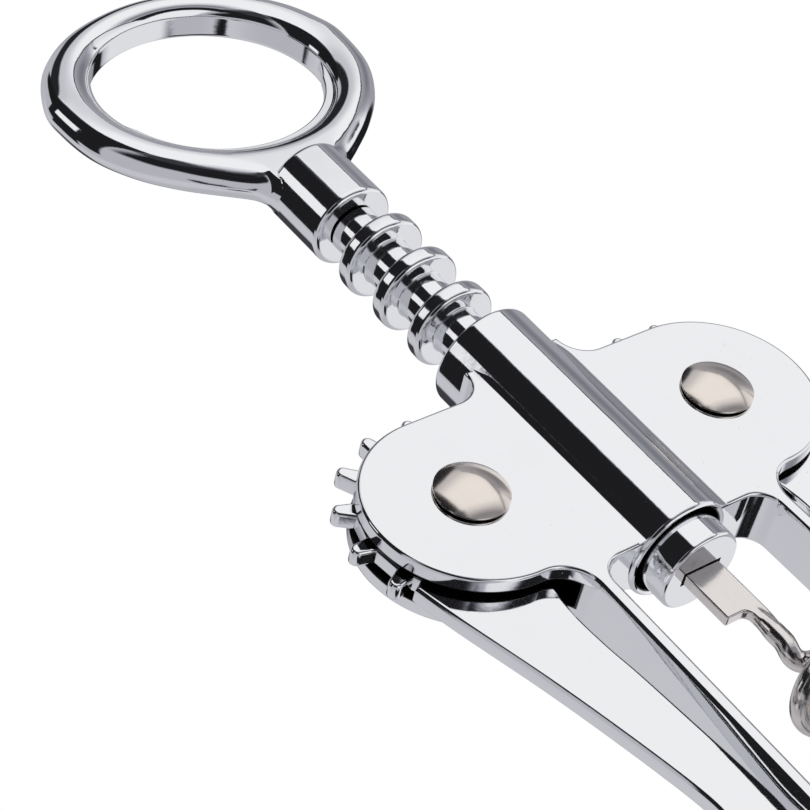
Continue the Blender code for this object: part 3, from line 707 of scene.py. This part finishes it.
@dataclass
class FrameCasting:
    """The die-cast frame: tube, two plates with round lobes, two legs and the bell."""

    pivot: Point = PIVOT
    depth: float = 0.0043
    lobe_radius: float = 0.0146
    lobe_top: float = 0.0140
    slot_depth: float = 0.00215
    slot_radius: float = 0.0178
    tube_top: float = 0.02335
    tube_foot: float = 0.01755
    tube_radii: Point = (0.0080, 0.00775)
    bore: float = 0.0069
    shoulder: float = 0.0042
    fillet: float = 0.0024
    fillet_end: Point = (0.95, 1.45)
    waist: float = 0.0050
    window_top: float = 0.0169
    window_corner: float = 0.0033
    leg_xs: Point = (0.0163, 0.0166)
    leg_width: float = 0.0020
    rivet_hole: float = 0.0028
    bell_radius: float = 0.0172
    bell_height: float = 0.0175
    bell_wall: float = 0.0019
    bell_web: float = 0.0024
    bell_guide: float = 0.0067
    bell_edges: Point = (0.0028, 0.0004)
    bell_seam: float = 0.0090
    bell_overlap: float = 0.0010
    lobe_rounding: float = 0.0005
    leg_rounding: float = 0.0006
    tube_edges: Point = (0.0006, 0.00085)
    mouth: tuple[float, float, float] = (0.0005, 0.0002, 0.0007)
    mouth_edge: float = 0.00005
    slot_edge: float = 0.0003
    drill: float = 0.0100
    bore_span: Point = (-0.0195, 0.0400)

    def outline(self) -> Outline:
        """The plates' front view about the level of the pivots."""
        half = math.pi / 2
        tube = self.tube_radii[0]
        shoulder = arc((tube + self.shoulder, self.lobe_top + self.shoulder), self.shoulder,
                       math.pi, 3 * half, 14)
        flat = self.lobe_top / self.lobe_radius
        lobe = [(a, b * flat if b > 0 else b)
                for a, b in arc((self.pivot[0], 0.0), self.lobe_radius, half, -half, 56)]
        waist = arc((self.leg_xs[0] + self.waist, -self.lobe_radius - self.waist), self.waist,
                    half, math.pi, 18)[1:]
        foot = self.bell_height - self.bell_overlap - self.pivot[1]
        inner = self.leg_xs[0] - self.leg_width
        corner = arc((inner - self.window_corner, -self.window_top - self.window_corner),
                     self.window_corner, 0.0, half, 12)
        leg = [(self.leg_xs[1], foot), (self.leg_xs[1] - self.leg_width, foot)]
        right = shoulder + lobe + waist + leg + corner
        return right + mirrored(right)

    def plates(self) -> Blank:
        """The two plates and legs in one, with edges that are rounder on the legs."""
        outline = self.outline()
        roundings = []
        for _, level in outline:
            share = min(1.0, max(0.0, (-level - self.lobe_radius) / (self.waist * 1.5)))
            roundings.append(self.lobe_rounding + (self.leg_rounding - self.lobe_rounding) * share)
        return Blank.cast_plate(outline, self.depth, roundings)

    def tube_radius(self, height: float) -> float:
        """The tapered tube's radius at a height over the pivots."""
        share = (self.tube_top - height) / (self.tube_top + self.tube_foot)
        return self.tube_radii[0] + (self.tube_radii[1] - self.tube_radii[0]) * share

    def flank_section(self, fillet: float, height: float) -> list[Vector]:
        """A slice across the tube, with a hollow fillet from each plate face up to the tube.

        Args:
            fillet: The fillets' radius.
            height: The slice's height over the pivots.

        Returns:
            The slice's points.
        """
        reach = self.tube_radius(height) + fillet
        depth = self.depth + fillet
        centre = math.sqrt(reach ** 2 - depth ** 2)
        curve = arc((centre, -depth), fillet, math.atan2(depth, -centre), math.pi / 2, 12)
        right = curve + [(a, -b) for a, b in reversed(curve)]
        return [Vector((a, b, height)) for a, b in right + mirrored(right)]

    def flanks(self) -> Blank:
        """The fillets along the tube, which run out at the shoulders."""
        rise, turn = self.fillet_end
        levels = [(-self.window_top + HAIR, 1.0), (self.lobe_top, 1.0)]
        levels += [(self.lobe_top + self.shoulder * rise * i / 8, math.cos(i / 8 * turn))
                   for i in range(1, 9)]
        return Blank.lofted([self.flank_section(self.fillet * share, level)
                             for level, share in levels])

    def tube(self) -> Blank:
        """The rack's tube about the level of the pivots."""
        top, foot = self.tube_top, -self.tube_foot
        waist = (sum(self.tube_radii) / 2, (top + foot) / 2)
        head = eased([(0.0, top), (self.tube_radii[0], top), waist], self.tube_edges[0], 6)
        tail = eased([waist, (self.tube_radii[1], foot), (0.0, foot)], self.tube_edges[1], 8)
        return Blank.turned(head + tail[1:])

    def bell(self) -> Blank:
        """The bell at the foot, open below, with a hole in its roof for the worm."""
        inner = self.bell_radius - self.bell_wall
        web = self.bell_height - self.bell_web
        seam = (self.bell_radius, self.bell_seam)
        outer = eased([(self.bell_guide, self.bell_height), (self.bell_radius, self.bell_height),
                       seam], self.bell_edges[0], 10)
        rim = eased([seam, (self.bell_radius, 0.0), (inner, 0.0), (inner, web),
                     (self.bell_guide, web), (self.bell_guide, self.bell_height - HAIR)],
                    self.bell_edges[1], 4)
        return Blank.turned(outer + rim[1:], hollow=True)

    def build(self) -> None:
        """Builds the casting in one piece and delivers it."""
        carved: list[Blank] = []
        for side in Side:
            at = (side.value * self.pivot[0], 0.0)
            slot = Blank.bar(self.slot_radius, self.slot_depth, at, 112)
            carved += [slot.soften(self.slot_edge, 2), Blank.bar(self.rivet_hole, self.drill, at)]
        carved.append(Blank.rod(self.bore, *self.bore_span, 96))
        flare, lead, depth = self.mouth
        for end, floor in ((self.tube_top, self.tube_top - depth),
                           (-self.tube_foot, depth - self.tube_foot)):
            mouth = [(0.0, end), (self.bore + flare, end), (self.bore - lead, floor), (0.0, floor)]
            carved.append(Blank.turned(eased(mouth, self.mouth_edge, 2)))
        bell = self.bell().move((0.0, 0.0, -self.pivot[1]))
        casting = self.plates().worked((self.flanks(), self.tube(), bell), carved)
        casting.move((0.0, 0.0, self.pivot[1]))
        deliver("frame_casting", casting, "frame", FRAME_PLATE.material(),
                ["body_frame"], 34.0)


@dataclass
class WingLever:
    """One lever: a gear of rounded teeth and a waisted arm in one casting."""

    side: Side
    material: bpy.types.Material
    pivot: Point = PIVOT
    half_thickness: float = 0.0013
    rounding: float = 0.00055
    boss: Point = (0.0045, 0.00185)
    boss_edge: float = 0.0002
    hole: float = 0.0028
    drill: float = 0.0100
    root: float = 0.01425
    tip: float = 0.0171
    tooth: Point = (0.0021, 0.0019)
    tooth_rounding: float = 0.0005
    root_flare: float = 1.2
    pitch: float = math.radians(24)
    mesh_angle: float = math.radians(7.8)
    teeth: range = range(-1, 9)
    neck: float = 0.0090
    length: float = 0.0712
    width: float = 0.0108
    inner_edge: tuple[Point, ...] = ((0.21, 0.19), (0.12, 0.27), (0.145, 0.36), (0.21, 0.44),
                                     (0.29, 0.57), (0.355, 0.68), (0.38, 0.75), (0.35, 0.82),
                                     (0.31, 0.90))
    end: tuple[Point, ...] = ((0.20, 0.965), (-0.16, 1.0), (-0.51, 0.965))
    outer_edge: tuple[Point, ...] = ((-0.64, 0.90), (-0.53, 0.83), (-0.33, 0.755), (-0.29, 0.70),
                                     (-0.44, 0.58), (-0.75, 0.39), (-1.12, 0.20), (-1.28, 0.105))

    def gear_outline(self) -> Outline:
        """The left gear about its pivot, with teeth from the rack over the top."""
        polar: Outline = []
        half_tip = self.tooth[1] / 2
        for number in self.teeth:
            middle = self.mesh_angle + number * self.pitch
            root = self.tooth[0] / 2 / self.root * self.root_flare
            polar.append((self.root, middle - root))
            for turn in range(13):
                angle = math.pi * (turn / 12 - 0.5)
                along = self.tip - half_tip + half_tip * math.cos(angle)
                aside = half_tip * math.sin(angle)
                polar.append((math.hypot(along, aside), middle + math.atan2(aside, along)))
            polar.append((self.root, middle + root))
        last = self.mesh_angle + self.teeth[-1] * self.pitch
        plain = math.tau - (len(self.teeth) - 1) * self.pitch
        polar += [(self.root, last + plain * step / 40) for step in range(2, 39)]
        return [(radius * math.cos(angle), radius * math.sin(angle)) for radius, angle in polar]

    def arm_outline(self) -> Outline:
        """The left arm below its pivot."""
        shares = self.inner_edge + self.end + self.outer_edge
        edge = [(a * self.width, -b * self.length) for a, b in shares]
        neck = [(-self.neck, -self.neck / 2), (0.0, -self.neck)]
        return flowing(edge, 10) + neck

    def placed(self, outline: Outline) -> Outline:
        """An outline on this lever's own side."""
        return [(-self.side.value * a, b) for a, b in outline]

    def build(self) -> None:
        """Builds the lever and delivers it."""
        arm, gear = (Blank.cast_plate(self.placed(outline), self.half_thickness,
                                      [rounding] * len(outline))
                     for outline, rounding in ((self.arm_outline(), self.rounding),
                                               (self.gear_outline(), self.tooth_rounding)))
        boss = Blank.bar(*self.boss).soften(self.boss_edge, 2)
        lever = arm.worked((gear, boss), (Blank.bar(self.hole, self.drill),))
        lever.move((self.side.value * self.pivot[0], 0.0, self.pivot[1]))
        word = self.side.name.lower()
        deliver(f"wing_lever_{word}", lever, f"lever_{word}", self.material,
                [f"lever_{word}"])


@dataclass
class Rivet:
    """One half of a rivet: a domed head with its pin or its sleeve."""

    side: Side
    facing: Facing
    material: bpy.types.Material
    pivot: Point = PIVOT
    seat: float = 0.0046
    head: float = 0.0050
    under: float = 0.0044
    rim: float = 0.0003
    dome: float = 0.0012
    dome_power: float = 2.5
    sleeve: float = 0.0025
    pin: float = 0.0014
    reach: float = 0.0043
    clearance: float = 0.0003
    edge: float = 0.00012

    def crown(self) -> Outline:
        """The head's profile from its crown down to its seat."""
        top = self.seat + self.rim + self.dome
        shares = [math.sin(math.pi / 2 * i / 20) for i in range(20)]
        curve = [(self.head * share, top - self.dome * share ** self.dome_power)
                 for share in shares]
        edge = eased([curve[-1], (self.head, self.seat + self.rim), (self.head, self.seat),
                      (self.under, self.seat)], self.edge, 4)
        return curve + edge[1:]

    def build(self) -> None:
        """Builds this half and delivers it."""
        if self.facing is Facing.FRONT:
            shaft = [(self.pin, self.seat), (self.pin, HAIR - self.reach), (0.0, -self.reach)]
        else:
            bore = self.pin + self.clearance
            shaft = [(self.sleeve, self.seat), (self.sleeve, -self.reach), (bore, -self.reach),
                     (bore, self.seat), (0.0, self.seat)]
        rivet = Blank.turned(self.crown() + shaft, 72).turn(self.facing.value, "X")
        rivet.move((self.side.value * self.pivot[0], 0.0, self.pivot[1]))
        word = f"{self.facing.name.lower()}_{self.side.name.lower()}"
        deliver(f"rivet_head_{word}", rivet, "frame", self.material, [f"rivet_{word}"])


@dataclass
class Rack:
    """The turned sleeve whose ring teeth both gears mesh with."""

    level: float = PIVOT[1]
    head: float = 0.0528
    foot: float = 0.0123
    top_tooth: float = 0.0465
    pitch: float = 0.0080
    teeth: int = 8
    tooth_half: float = 0.0014
    radius: float = 0.00655
    core: float = 0.00375
    bore: float = 0.0023
    root_run: Point = (0.0008, 0.0005)
    root_edge: float = 0.00022
    tooth_edge: float = 0.0009

    def build(self) -> None:
        """Builds the sleeve and delivers it."""
        profile: Outline = [(self.core, self.level + self.head)]
        aside, along = self.core + self.root_run[0], self.root_run[1]
        for number in range(self.teeth):
            middle = self.level + self.top_tooth - number * self.pitch
            high, low = middle + self.tooth_half, middle - self.tooth_half
            profile += eased([(self.core, high + along), (self.core, high), (aside, high)],
                             self.root_edge, 3)
            profile += eased([(aside + HAIR, high), (self.radius, high), (self.radius, low),
                              (aside + HAIR, low)], self.tooth_edge, 7)
            profile += eased([(aside, low), (self.core, low), (self.core, low - along)],
                             self.root_edge, 3)
        foot = self.level - self.foot
        profile += [(self.core, foot), (self.bore, foot), (self.bore, self.level + self.head)]
        deliver("rack_teeth", Blank.turned(profile, 96, hollow=True), "rack",
                RACK_PLATE.material(), ["rack_sleeve"], 40.0)


@dataclass
class Turning:
    """A short turned fitting on the spindle, cross-drilled for a pin."""

    material: bpy.types.Material
    radius: float
    head: float
    foot: float
    edge: float
    edge_steps: int
    spindle: float
    pin: float
    pin_end: float
    pin_reach: float = 0.75
    margin: float = 0.0010

    def body(self) -> Blank:
        """The turned body with rounded edges."""
        corners = [(0.0, self.head), (self.radius, self.head), (self.radius, self.foot),
                   (0.0, self.foot)]
        return Blank.turned(eased(corners, self.edge, self.edge_steps))

    def pin_hole(self, level: float) -> Blank:
        """The pin's hole at a height, from the pin's front end to short of the rear face."""
        reach = self.radius * self.pin_reach
        return Blank.bar(self.pin, reach, (0.0, level), 32).move((0.0, reach - self.pin_end, 0.0))


@dataclass
class WormHub(Turning):
    """The hub under the rack, with sockets for the spindle and the worm's flat shank."""

    radius: float = 0.0062
    head: float = 0.0629
    foot: float = 0.0539
    edge: float = 0.0006
    edge_steps: int = 6
    spindle: float = 0.0023
    spindle_depth: float = 0.0042
    socket: tuple[float, float, float] = (0.0032, 0.00115, 0.0036)
    pin: float = 0.0011
    pin_end: float = 0.0053

    def build(self) -> None:
        """Builds the hub and delivers it."""
        wide, thick, deep = self.socket
        carved = (Blank.rod(self.spindle, self.head - self.spindle_depth, self.head + self.margin),
                  Blank.block((-wide, -thick, self.foot - self.margin),
                              (wide, thick, self.foot + deep)),
                  self.pin_hole(self.foot + deep / 2))
        deliver("hub_turned", self.body().worked((), carved), "handle", self.material,
                ["worm_hub"])


@dataclass
class Worm:
    """The worm: a flattened shank that runs out into an open coil with a sharp tip."""

    foot: float = 0.0539
    shank: tuple[float, float, float] = (0.0029, 0.00085, 0.0080)
    step: float = 0.0023
    run_out: float = 0.0045
    neck: Point = (0.98, 0.55)
    root: Point = (0.0004, 0.55)
    root_steps: int = 8
    turn_steps: int = 52
    offset: float = 0.0015
    wire: float = 0.0014
    coil_top: float = 0.0404
    coil_radius: float = 0.0039
    pitch: float = 0.0088
    start: float = math.radians(184)
    entry: float = 0.0090
    tip: float = 0.0022
    taper: float = 0.0072
    tip_share: float = 0.18
    embed: float = 0.0033
    edge: float = 0.00016
    voxel: float = 0.00017
    polish: float = 0.5
    polish_rounds: int = 5

    def flat_shank(self) -> Blank:
        """The flattened end, with one side stepped back to the wire."""
        wide, thick, length = self.shank
        foot = self.foot - length
        narrow = self.wire - thick * self.neck[1]
        left = self.offset - narrow
        bend = self.step / 2
        step = arc((left - bend, foot - bend), bend, math.pi / 2, 0.0, 10)
        right = flowing([(wide, foot), (wide * self.neck[0], foot - self.run_out * 0.5),
                         (self.offset + narrow, foot - self.run_out)], 8)
        head = self.foot + self.embed
        outline = ([(-wide, head), (-wide, foot)] + step + [(left, foot - self.run_out)]
                   + right[::-1] + [(wide, head)])
        return Blank.plate(outline, thick).soften(self.edge, 3)

    def coil(self) -> Blank:
        """The wire: down from the shank and then round in an open coil."""
        overlap, slim = self.root
        root = self.foot - self.shank[2] + overlap
        steps = self.root_steps
        path = [Vector((self.offset, 0.0, root + (self.coil_top - root) * i / steps))
                for i in range(steps)]
        widths = [self.wire * (slim + (1 - slim) * min(1.0, i / (steps - 2)))
                  for i in range(steps)]
        drop = self.coil_top - self.tip
        count = round(drop / self.pitch * self.turn_steps)
        for i in range(count + 1):
            fall = drop * i / count
            swing = math.sin(math.pi / 2 * min(1.0, fall / self.entry)) ** 2
            angle = self.start - math.tau * fall / self.pitch
            reach = self.coil_radius * swing
            path.append(Vector((self.offset * (1 - swing) + reach * math.cos(angle),
                                reach * math.sin(angle), self.coil_top - fall)))
            share = min(1.0, (drop - fall) / self.taper)
            widths.append(self.wire * (self.tip_share + (1 - self.tip_share) * share))
        return Blank.drawn(path, widths)

    def build(self) -> None:
        """Builds the worm, flows shank and wire into each other, and delivers it."""
        whole = self.flat_shank().worked((self.coil(),))
        base = linked("bench_worm", whole.mesh("bench_worm"))
        remesh = base.modifiers.new("forging", "REMESH")
        remesh.mode = "VOXEL"
        remesh.voxel_size = self.voxel
        smooth = base.modifiers.new("polish", "SMOOTH")
        smooth.factor = self.polish
        smooth.iterations = self.polish_rounds
        deliver("worm_forged", Blank.taken_from(base), "handle", WORM_PLATE.material(),
                ["worm"], 70.0)


@dataclass
class Collar(Turning):
    """The collar over the rack, forked at its head for the ring handle."""

    radius: float = 0.00655
    head: float = 0.1408
    foot: float = 0.1286
    edge: float = 0.0009
    edge_steps: int = 7
    spindle: float = 0.0023
    spindle_depth: float = 0.0060
    slot: tuple[float, float, float] = (0.0048, 0.0033, 0.0069)
    fork: Point = (0.0090, 0.0023)
    pin: float = 0.0013
    pin_end: float = 0.00355

    def build(self) -> None:
        """Builds the collar and delivers it."""
        wide, thick, deep = self.slot
        broad, shallow = self.fork
        top = self.head + self.margin * 2
        carved = (Blank.rod(self.spindle, self.foot - self.margin, self.foot + self.spindle_depth),
                  Blank.block((-wide, -thick, self.head - deep), (wide, thick, top)),
                  Blank.block((-broad, -thick, self.head - shallow), (broad, thick, top)),
                  self.pin_hole(self.head - (deep + shallow) / 2))
        deliver("collar_turned", self.body().worked((), carved), "handle", self.material,
                ["handle_collar"])


@dataclass
class RingHandle:
    """The ring handle: a crowned band round the opening, with the opener's thin lip."""

    top: float = 0.1867
    foot: float = 0.1388
    half_width: float = 0.0262
    half_depth: float = 0.0030
    band: float = 0.0051
    crown: float = 0.0037
    opening: Point = (0.0189, 0.0167)
    neck: float = 0.00655
    neck_embed: float = 0.0022
    neck_taper: float = 0.98
    lip: tuple[float, float, float] = (0.0012, 0.0009, 0.0010)
    lip_end: float = 0.0004
    lip_run: float = 3.0
    lip_edge: float = 0.0003
    edge: float = 0.00018
    crease: float = 42.0
    shares: tuple[Point, ...] = ((0.0, 1.0), (0.48, 0.945), (0.81, 0.824), (0.98, 0.667),
                                 (1.0, 0.556), (0.956, 0.414), (0.823, 0.286), (0.646, 0.185),
                                 (0.461, 0.105), (0.303, 0.041))
    outer_square: float = 0.9
    front_fall: float = 0.64
    rear_fall: float = 0.16
    slope_share: float = 2 / 3
    steps: int = 224
    section_steps: int = 60
    ring: float = 3.0

    @property
    def middle(self) -> float:
        """The height of the opening's centre."""
        return self.top - self.band - self.opening[1]

    def outline(self) -> Outline:
        """The band's outer edge, right round from the neck's foot on the left."""
        height = self.top - self.foot
        right = [(a * self.half_width, self.foot + b * height) for a, b in self.shares]
        right.append((self.neck, self.foot))
        line = flowing(mirrored(right[1:]) + right, 12)
        sunk = self.foot - self.neck_embed
        slim = self.neck * self.neck_taper
        return [(-slim, sunk)] + line + [(slim, sunk)]

    def reach(self, outline: Outline, angle: float) -> float:
        """How far the outer edge is from the opening's centre.

        Args:
            outline: The outer edge.
            angle: The direction from the opening's centre, in radians.

        Returns:
            The distance along that direction.
        """
        way = Vector((math.cos(angle), math.sin(angle)))
        best = 0.0
        for one, two in zip(outline, outline[1:] + outline[:1]):
            start = Vector(one) - Vector((0.0, self.middle))
            side = Vector(two) - Vector(one)
            cross = way.x * side.y - way.y * side.x
            if abs(cross) > 1e-12:
                along = (start.x * side.y - start.y * side.x) / cross
                share = (start.x * way.y - start.y * way.x) / cross
                if along > 0 and -1e-6 <= share <= 1 + 1e-6:
                    best = max(best, along)
        return best

    def section(self, across: float, depth: float) -> Point:
        """Bends a point of a round section into the band's own section.

        Args:
            across: The point's place across the band, from -1 at the opening to 1 outside.
            depth: Its place along the band's depth, from -1 at the front to 1 at the rear.

        Returns:
            The two places in the band's section, whose opening side is a flat wall.
        """
        if across >= 0:
            return across ** self.outer_square, depth
        fall = self.front_fall if depth < 0 else self.rear_fall
        turn = math.asin(min(1.0, -across)) / (math.pi / 2)
        if turn >= self.slope_share:
            left = (1.0 - turn) / (1.0 - self.slope_share)
            return -1.0, math.copysign((1.0 - fall) * left, depth)
        edge = math.acos(1.0 - fall)
        angle = edge * turn / self.slope_share
        return -math.sin(angle) / math.sin(edge), math.copysign(math.cos(angle), depth)

    def band_blank(self) -> Blank:
        """The band: a ring turned from a round section, drawn out to its outline and crowned."""
        blank = Blank()
        bmesh.ops.create_circle(blank.bm, segments=self.section_steps, radius=1.0)
        blank.turn(180, "X").move((self.ring, 0.0, 0.0))
        bmesh.ops.spin(blank.bm, geom=blank.bm.verts[:] + blank.bm.edges[:], axis=(0, 1, 0),
                       cent=(0, 0, 0), dvec=(0, 0, 0), angle=math.tau, steps=self.steps,
                       use_merge=True)
        outline = self.outline()
        reaches: dict[int, float] = {}
        wide, tall = self.opening
        for vert in blank.bm.verts:
            angle = math.atan2(vert.co.z, vert.co.x)
            key = round(angle / math.tau * self.steps) % self.steps
            if key not in reaches:
                reaches[key] = self.reach(outline, angle)
            across = math.hypot(vert.co.x, vert.co.z) - self.ring
            spread, depth = self.section(0.0 if abs(across) < WELD else across, vert.co.y)
            inner = wide * tall / math.hypot(tall * math.cos(angle), wide * math.sin(angle))
            outer = reaches[key]
            half = min(self.crown, (outer - inner) / 2)
            radius = inner + half * (1 + spread) if spread < 0 else outer - half * (1 - spread)
            vert.co = Vector((radius * math.cos(angle), depth * self.half_depth,
                              self.middle + radius * math.sin(angle)))
        return blank.welded().soften(self.edge, 2, self.crease)

    def lip_blank(self) -> Blank:
        """The thin lip along the opening's lower half."""
        reach, depth, embed = self.lip
        wide, tall = self.opening
        outer = [(a * (wide + embed), self.middle + b * (tall + embed))
                 for a, b in arc((0.0, 0.0), 1.0, math.pi, math.tau, 72)]
        inner = []
        for a, b in arc((0.0, 0.0), 1.0, math.tau, math.pi, 72):
            run = -b * self.lip_run
            inset = reach * min(1.0, run) - self.lip_end * max(0.0, 1 - run)
            inner.append((a * (wide - inset), self.middle + b * (tall - inset)))
        return Blank.plate(outer + inner, depth).soften(self.lip_edge, 3)

    def build(self) -> None:
        """Builds the handle and delivers it."""
        handle = self.band_blank().worked((self.lip_blank(),))
        deliver("ring_handle", handle, "handle", HANDLE_PLATE.material(),
                ["handle_ring"], 50.0)


@dataclass(frozen=True)
class Panel:
    """A cloth or card of the light tent, by its direction as seen from the tool, in degrees."""

    azimuth: float
    elevation: float
    half_width: float
    half_height: float
    soft: float
    level: float
    slope: float = 0.0


@dataclass
class Studio:
    """The pale floor, the light tent that the chrome mirrors, the white world and the camera."""

    tent_radius: float = 2.5
    tent_level: float = 0.50
    shade_cast: Colour = (0.93, 0.94, 1.08)
    panels: Sequence[Panel] = field(default_factory=lambda: PANELS)
    camera_right: tuple[float, float, float] = (0.78724, -0.17238, -0.59206)
    camera_up: tuple[float, float, float] = (0.30554, -0.72494, 0.61733)
    camera_back: tuple[float, float, float] = (-0.53562, -0.66689, -0.51804)
    camera_place: tuple[float, float, float] = (-0.18025, -0.20311, -0.06228)
    lens: float = 103.66
    shift: Point = (0.01060, 0.00462)
    sensor: float = 36.0
    floor_half: float = 1.5
    floor_gap: float = 0.0002
    floor_tints: tuple[Colour, Colour] = ((0.945, 0.945, 0.95), (0.96, 0.96, 0.965))

    def floor(self) -> None:
        """A pale floor under the bell that doesn't hide the tool from a camera below it."""
        blank = Blank()
        bmesh.ops.create_grid(blank.bm, x_segments=1, y_segments=1, size=self.floor_half)
        blank.move((0.0, 0.0, -self.floor_gap))
        desk = NodeDesk("pale_floor")
        colour = desk.blend(desk.noise(60.0, 3.0), *self.floor_tints)
        matt = desk.add("ShaderNodeBsdfDiffuse", {}, {"Color": colour})
        clear = desk.add("ShaderNodeBsdfTransparent", {}, {})
        behind = desk.add("ShaderNodeNewGeometry", {}, {}, "Backfacing")
        surface = desk.add("ShaderNodeMixShader", {}, {0: behind, 1: matt, 2: clear})
        mesh = blank.mesh("floor")
        mesh.materials.append(desk.surfaced(surface))
        floor = linked("floor", mesh)
        floor.visible_glossy = False

    def tent(self) -> None:
        """A tent with bright cloths and dark cards, which only the metal mirrors."""
        blank = Blank()
        bmesh.ops.create_icosphere(blank.bm, subdivisions=4, radius=self.tent_radius)
        desk = NodeDesk("tent_cloth")
        way = desk.add("ShaderNodeVectorMath", {"operation": "NORMALIZE"}, {0: desk.place()})
        x, y, z = desk.split(way)
        height = z.maths("ARCSINE")
        level: Signal | float = self.tent_level
        for panel in self.panels:
            turn = math.radians(panel.azimuth)
            ahead = x * math.cos(turn) + y * math.sin(turn)
            aside = y * math.cos(turn) - x * math.sin(turn)
            soft = math.radians(panel.soft)
            across = aside.maths("ARCTAN2", ahead)
            wide = math.radians(panel.half_width)
            tall = math.radians(panel.half_height)
            rise = height - math.radians(panel.elevation) - across * panel.slope
            sides = abs(across).ramp(wide + soft, wide - soft)
            mask = sides * abs(rise).ramp(tall + soft, tall - soft)
            level = mask * (panel.level - level) + level
        cast = desk.blend(level, self.shade_cast, (1.0, 1.0, 1.0))
        cloth = desk.add("ShaderNodeVectorMath", {"operation": "SCALE"}, {0: cast, "Scale": level})
        glow = desk.add("ShaderNodeEmission", {}, {"Color": cloth, "Strength": 1.0})
        desk.material.cycles.emission_sampling = "NONE"
        mesh = blank.mesh("light_tent")
        mesh.materials.append(desk.surfaced(glow))
        mesh.shade_smooth()
        tent = linked("light_tent", mesh)
        tent.visible_camera = False
        tent.visible_diffuse = False
        tent.visible_transmission = False
        tent.visible_shadow = False

    def world(self) -> None:
        """A plain white world."""
        world = bpy.data.worlds.new("white_studio")
        bpy.context.scene.world = world
        world.use_nodes = True
        background = world.node_tree.nodes["Background"]
        background.inputs["Color"].default_value = (1.0, 1.0, 1.0, 1.0)
        background.inputs["Strength"].default_value = 1.0

    def camera(self) -> None:
        """The camera at the photograph's viewing angle."""
        data = bpy.data.cameras.new("photo_camera")
        data.sensor_width = self.sensor
        data.lens = self.lens
        data.shift_x, data.shift_y = self.shift
        data.clip_start = 0.01
        camera = linked("photo_camera", data)
        axes = Matrix((self.camera_right, self.camera_up, self.camera_back)).transposed()
        camera.matrix_world = Matrix.Translation(self.camera_place) @ axes.to_4x4()
        bpy.context.scene.camera = camera

    def build(self) -> None:
        """Builds the whole studio."""
        self.world()
        self.floor()
        self.tent()
        self.camera()
        bpy.context.scene.view_settings.view_transform = "Standard"


PANELS: tuple[Panel, ...] = (
    Panel(122.0, 10.0, 16.0, 60.0, 8.0, 0.60),
    Panel(84.0, 36.0, 22.0, 8.0, 4.0, 0.05),
    Panel(88.0, -43.0, 38.0, 6.0, 1.5, 0.012),
    Panel(150.0, -46.0, 12.0, 3.0, 2.0, 0.03),
    Panel(8.0, 42.0, 44.0, 30.0, 5.0, 0.36),
    Panel(25.0, -30.0, 36.0, 36.0, 8.0, 0.80),
    Panel(-15.0, -26.0, 20.0, 34.0, 5.0, 0.90),
    Panel(24.0, 14.0, 21.0, 7.0, 2.0, 0.012, 0.5),
    Panel(-24.0, 8.0, 14.0, 1.2, 0.8, 0.03, -0.45),
    Panel(-16.0, 30.0, 10.0, 12.0, 8.0, 0.22),
    Panel(-66.0, -12.0, 44.0, 24.0, 7.0, 0.80),
    Panel(-195.0, 36.0, 25.0, 8.0, 1.5, 0.014),
    Panel(-152.0, 32.0, 50.0, 28.0, 1.5, 0.014),
    Panel(-133.0, -32.0, 20.0, 30.0, 6.0, 0.014),
    Panel(-108.0, -9.0, 10.0, 14.0, 4.0, 0.04),
    Panel(-108.0, -28.0, 10.0, 9.0, 3.0, 0.014),
    Panel(-158.0, 38.0, 12.0, 6.5, 0.8, 0.92),
    Panel(-60.0, -66.0, 42.0, 24.0, 2.0, 0.90),
    Panel(-68.0, 26.0, 33.0, 24.0, 1.0, 0.94),
    Panel(-68.0, -17.0, 32.0, 8.0, 9.0, 0.22),
    Panel(-68.0, 52.0, 33.0, 10.0, 9.0, 0.60),
    Panel(-73.0, -33.0, 38.0, 8.0, 2.0, 0.014),
    Panel(-36.0, 10.0, 1.3, 39.0, 0.7, 0.02),
    Panel(-75.0, 66.0, 71.0, 10.0, 2.0, 0.02),
    Panel(-130.0, 64.0, 25.0, 20.0, 2.0, 0.012),
)


def main() -> None:
    """Builds the tool's pieces in order, then the studio."""
    logging.basicConfig(level=logging.INFO, format="%(name)s %(message)s")
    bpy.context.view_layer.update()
    turned = TURNED_PLATE.material()
    levers = LEVER_PLATE.material()
    rivets = RIVET_PLATE.material()
    pins = PIN_STEEL.material()
    FrameCasting().build()
    for side in Side:
        WingLever(side, levers).build()
        for facing in Facing:
            Rivet(side, facing, rivets).build()
    Rack().build()
    WormHub(turned).build()
    Worm().build()
    Collar(turned).build()
    RingHandle().build()
    for name in ("spindle", "hub_pin", "handle_pin"):
        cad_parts[name].material_slots[0].material = pins
    Studio().build()


if __name__ == "__main__":
    main()
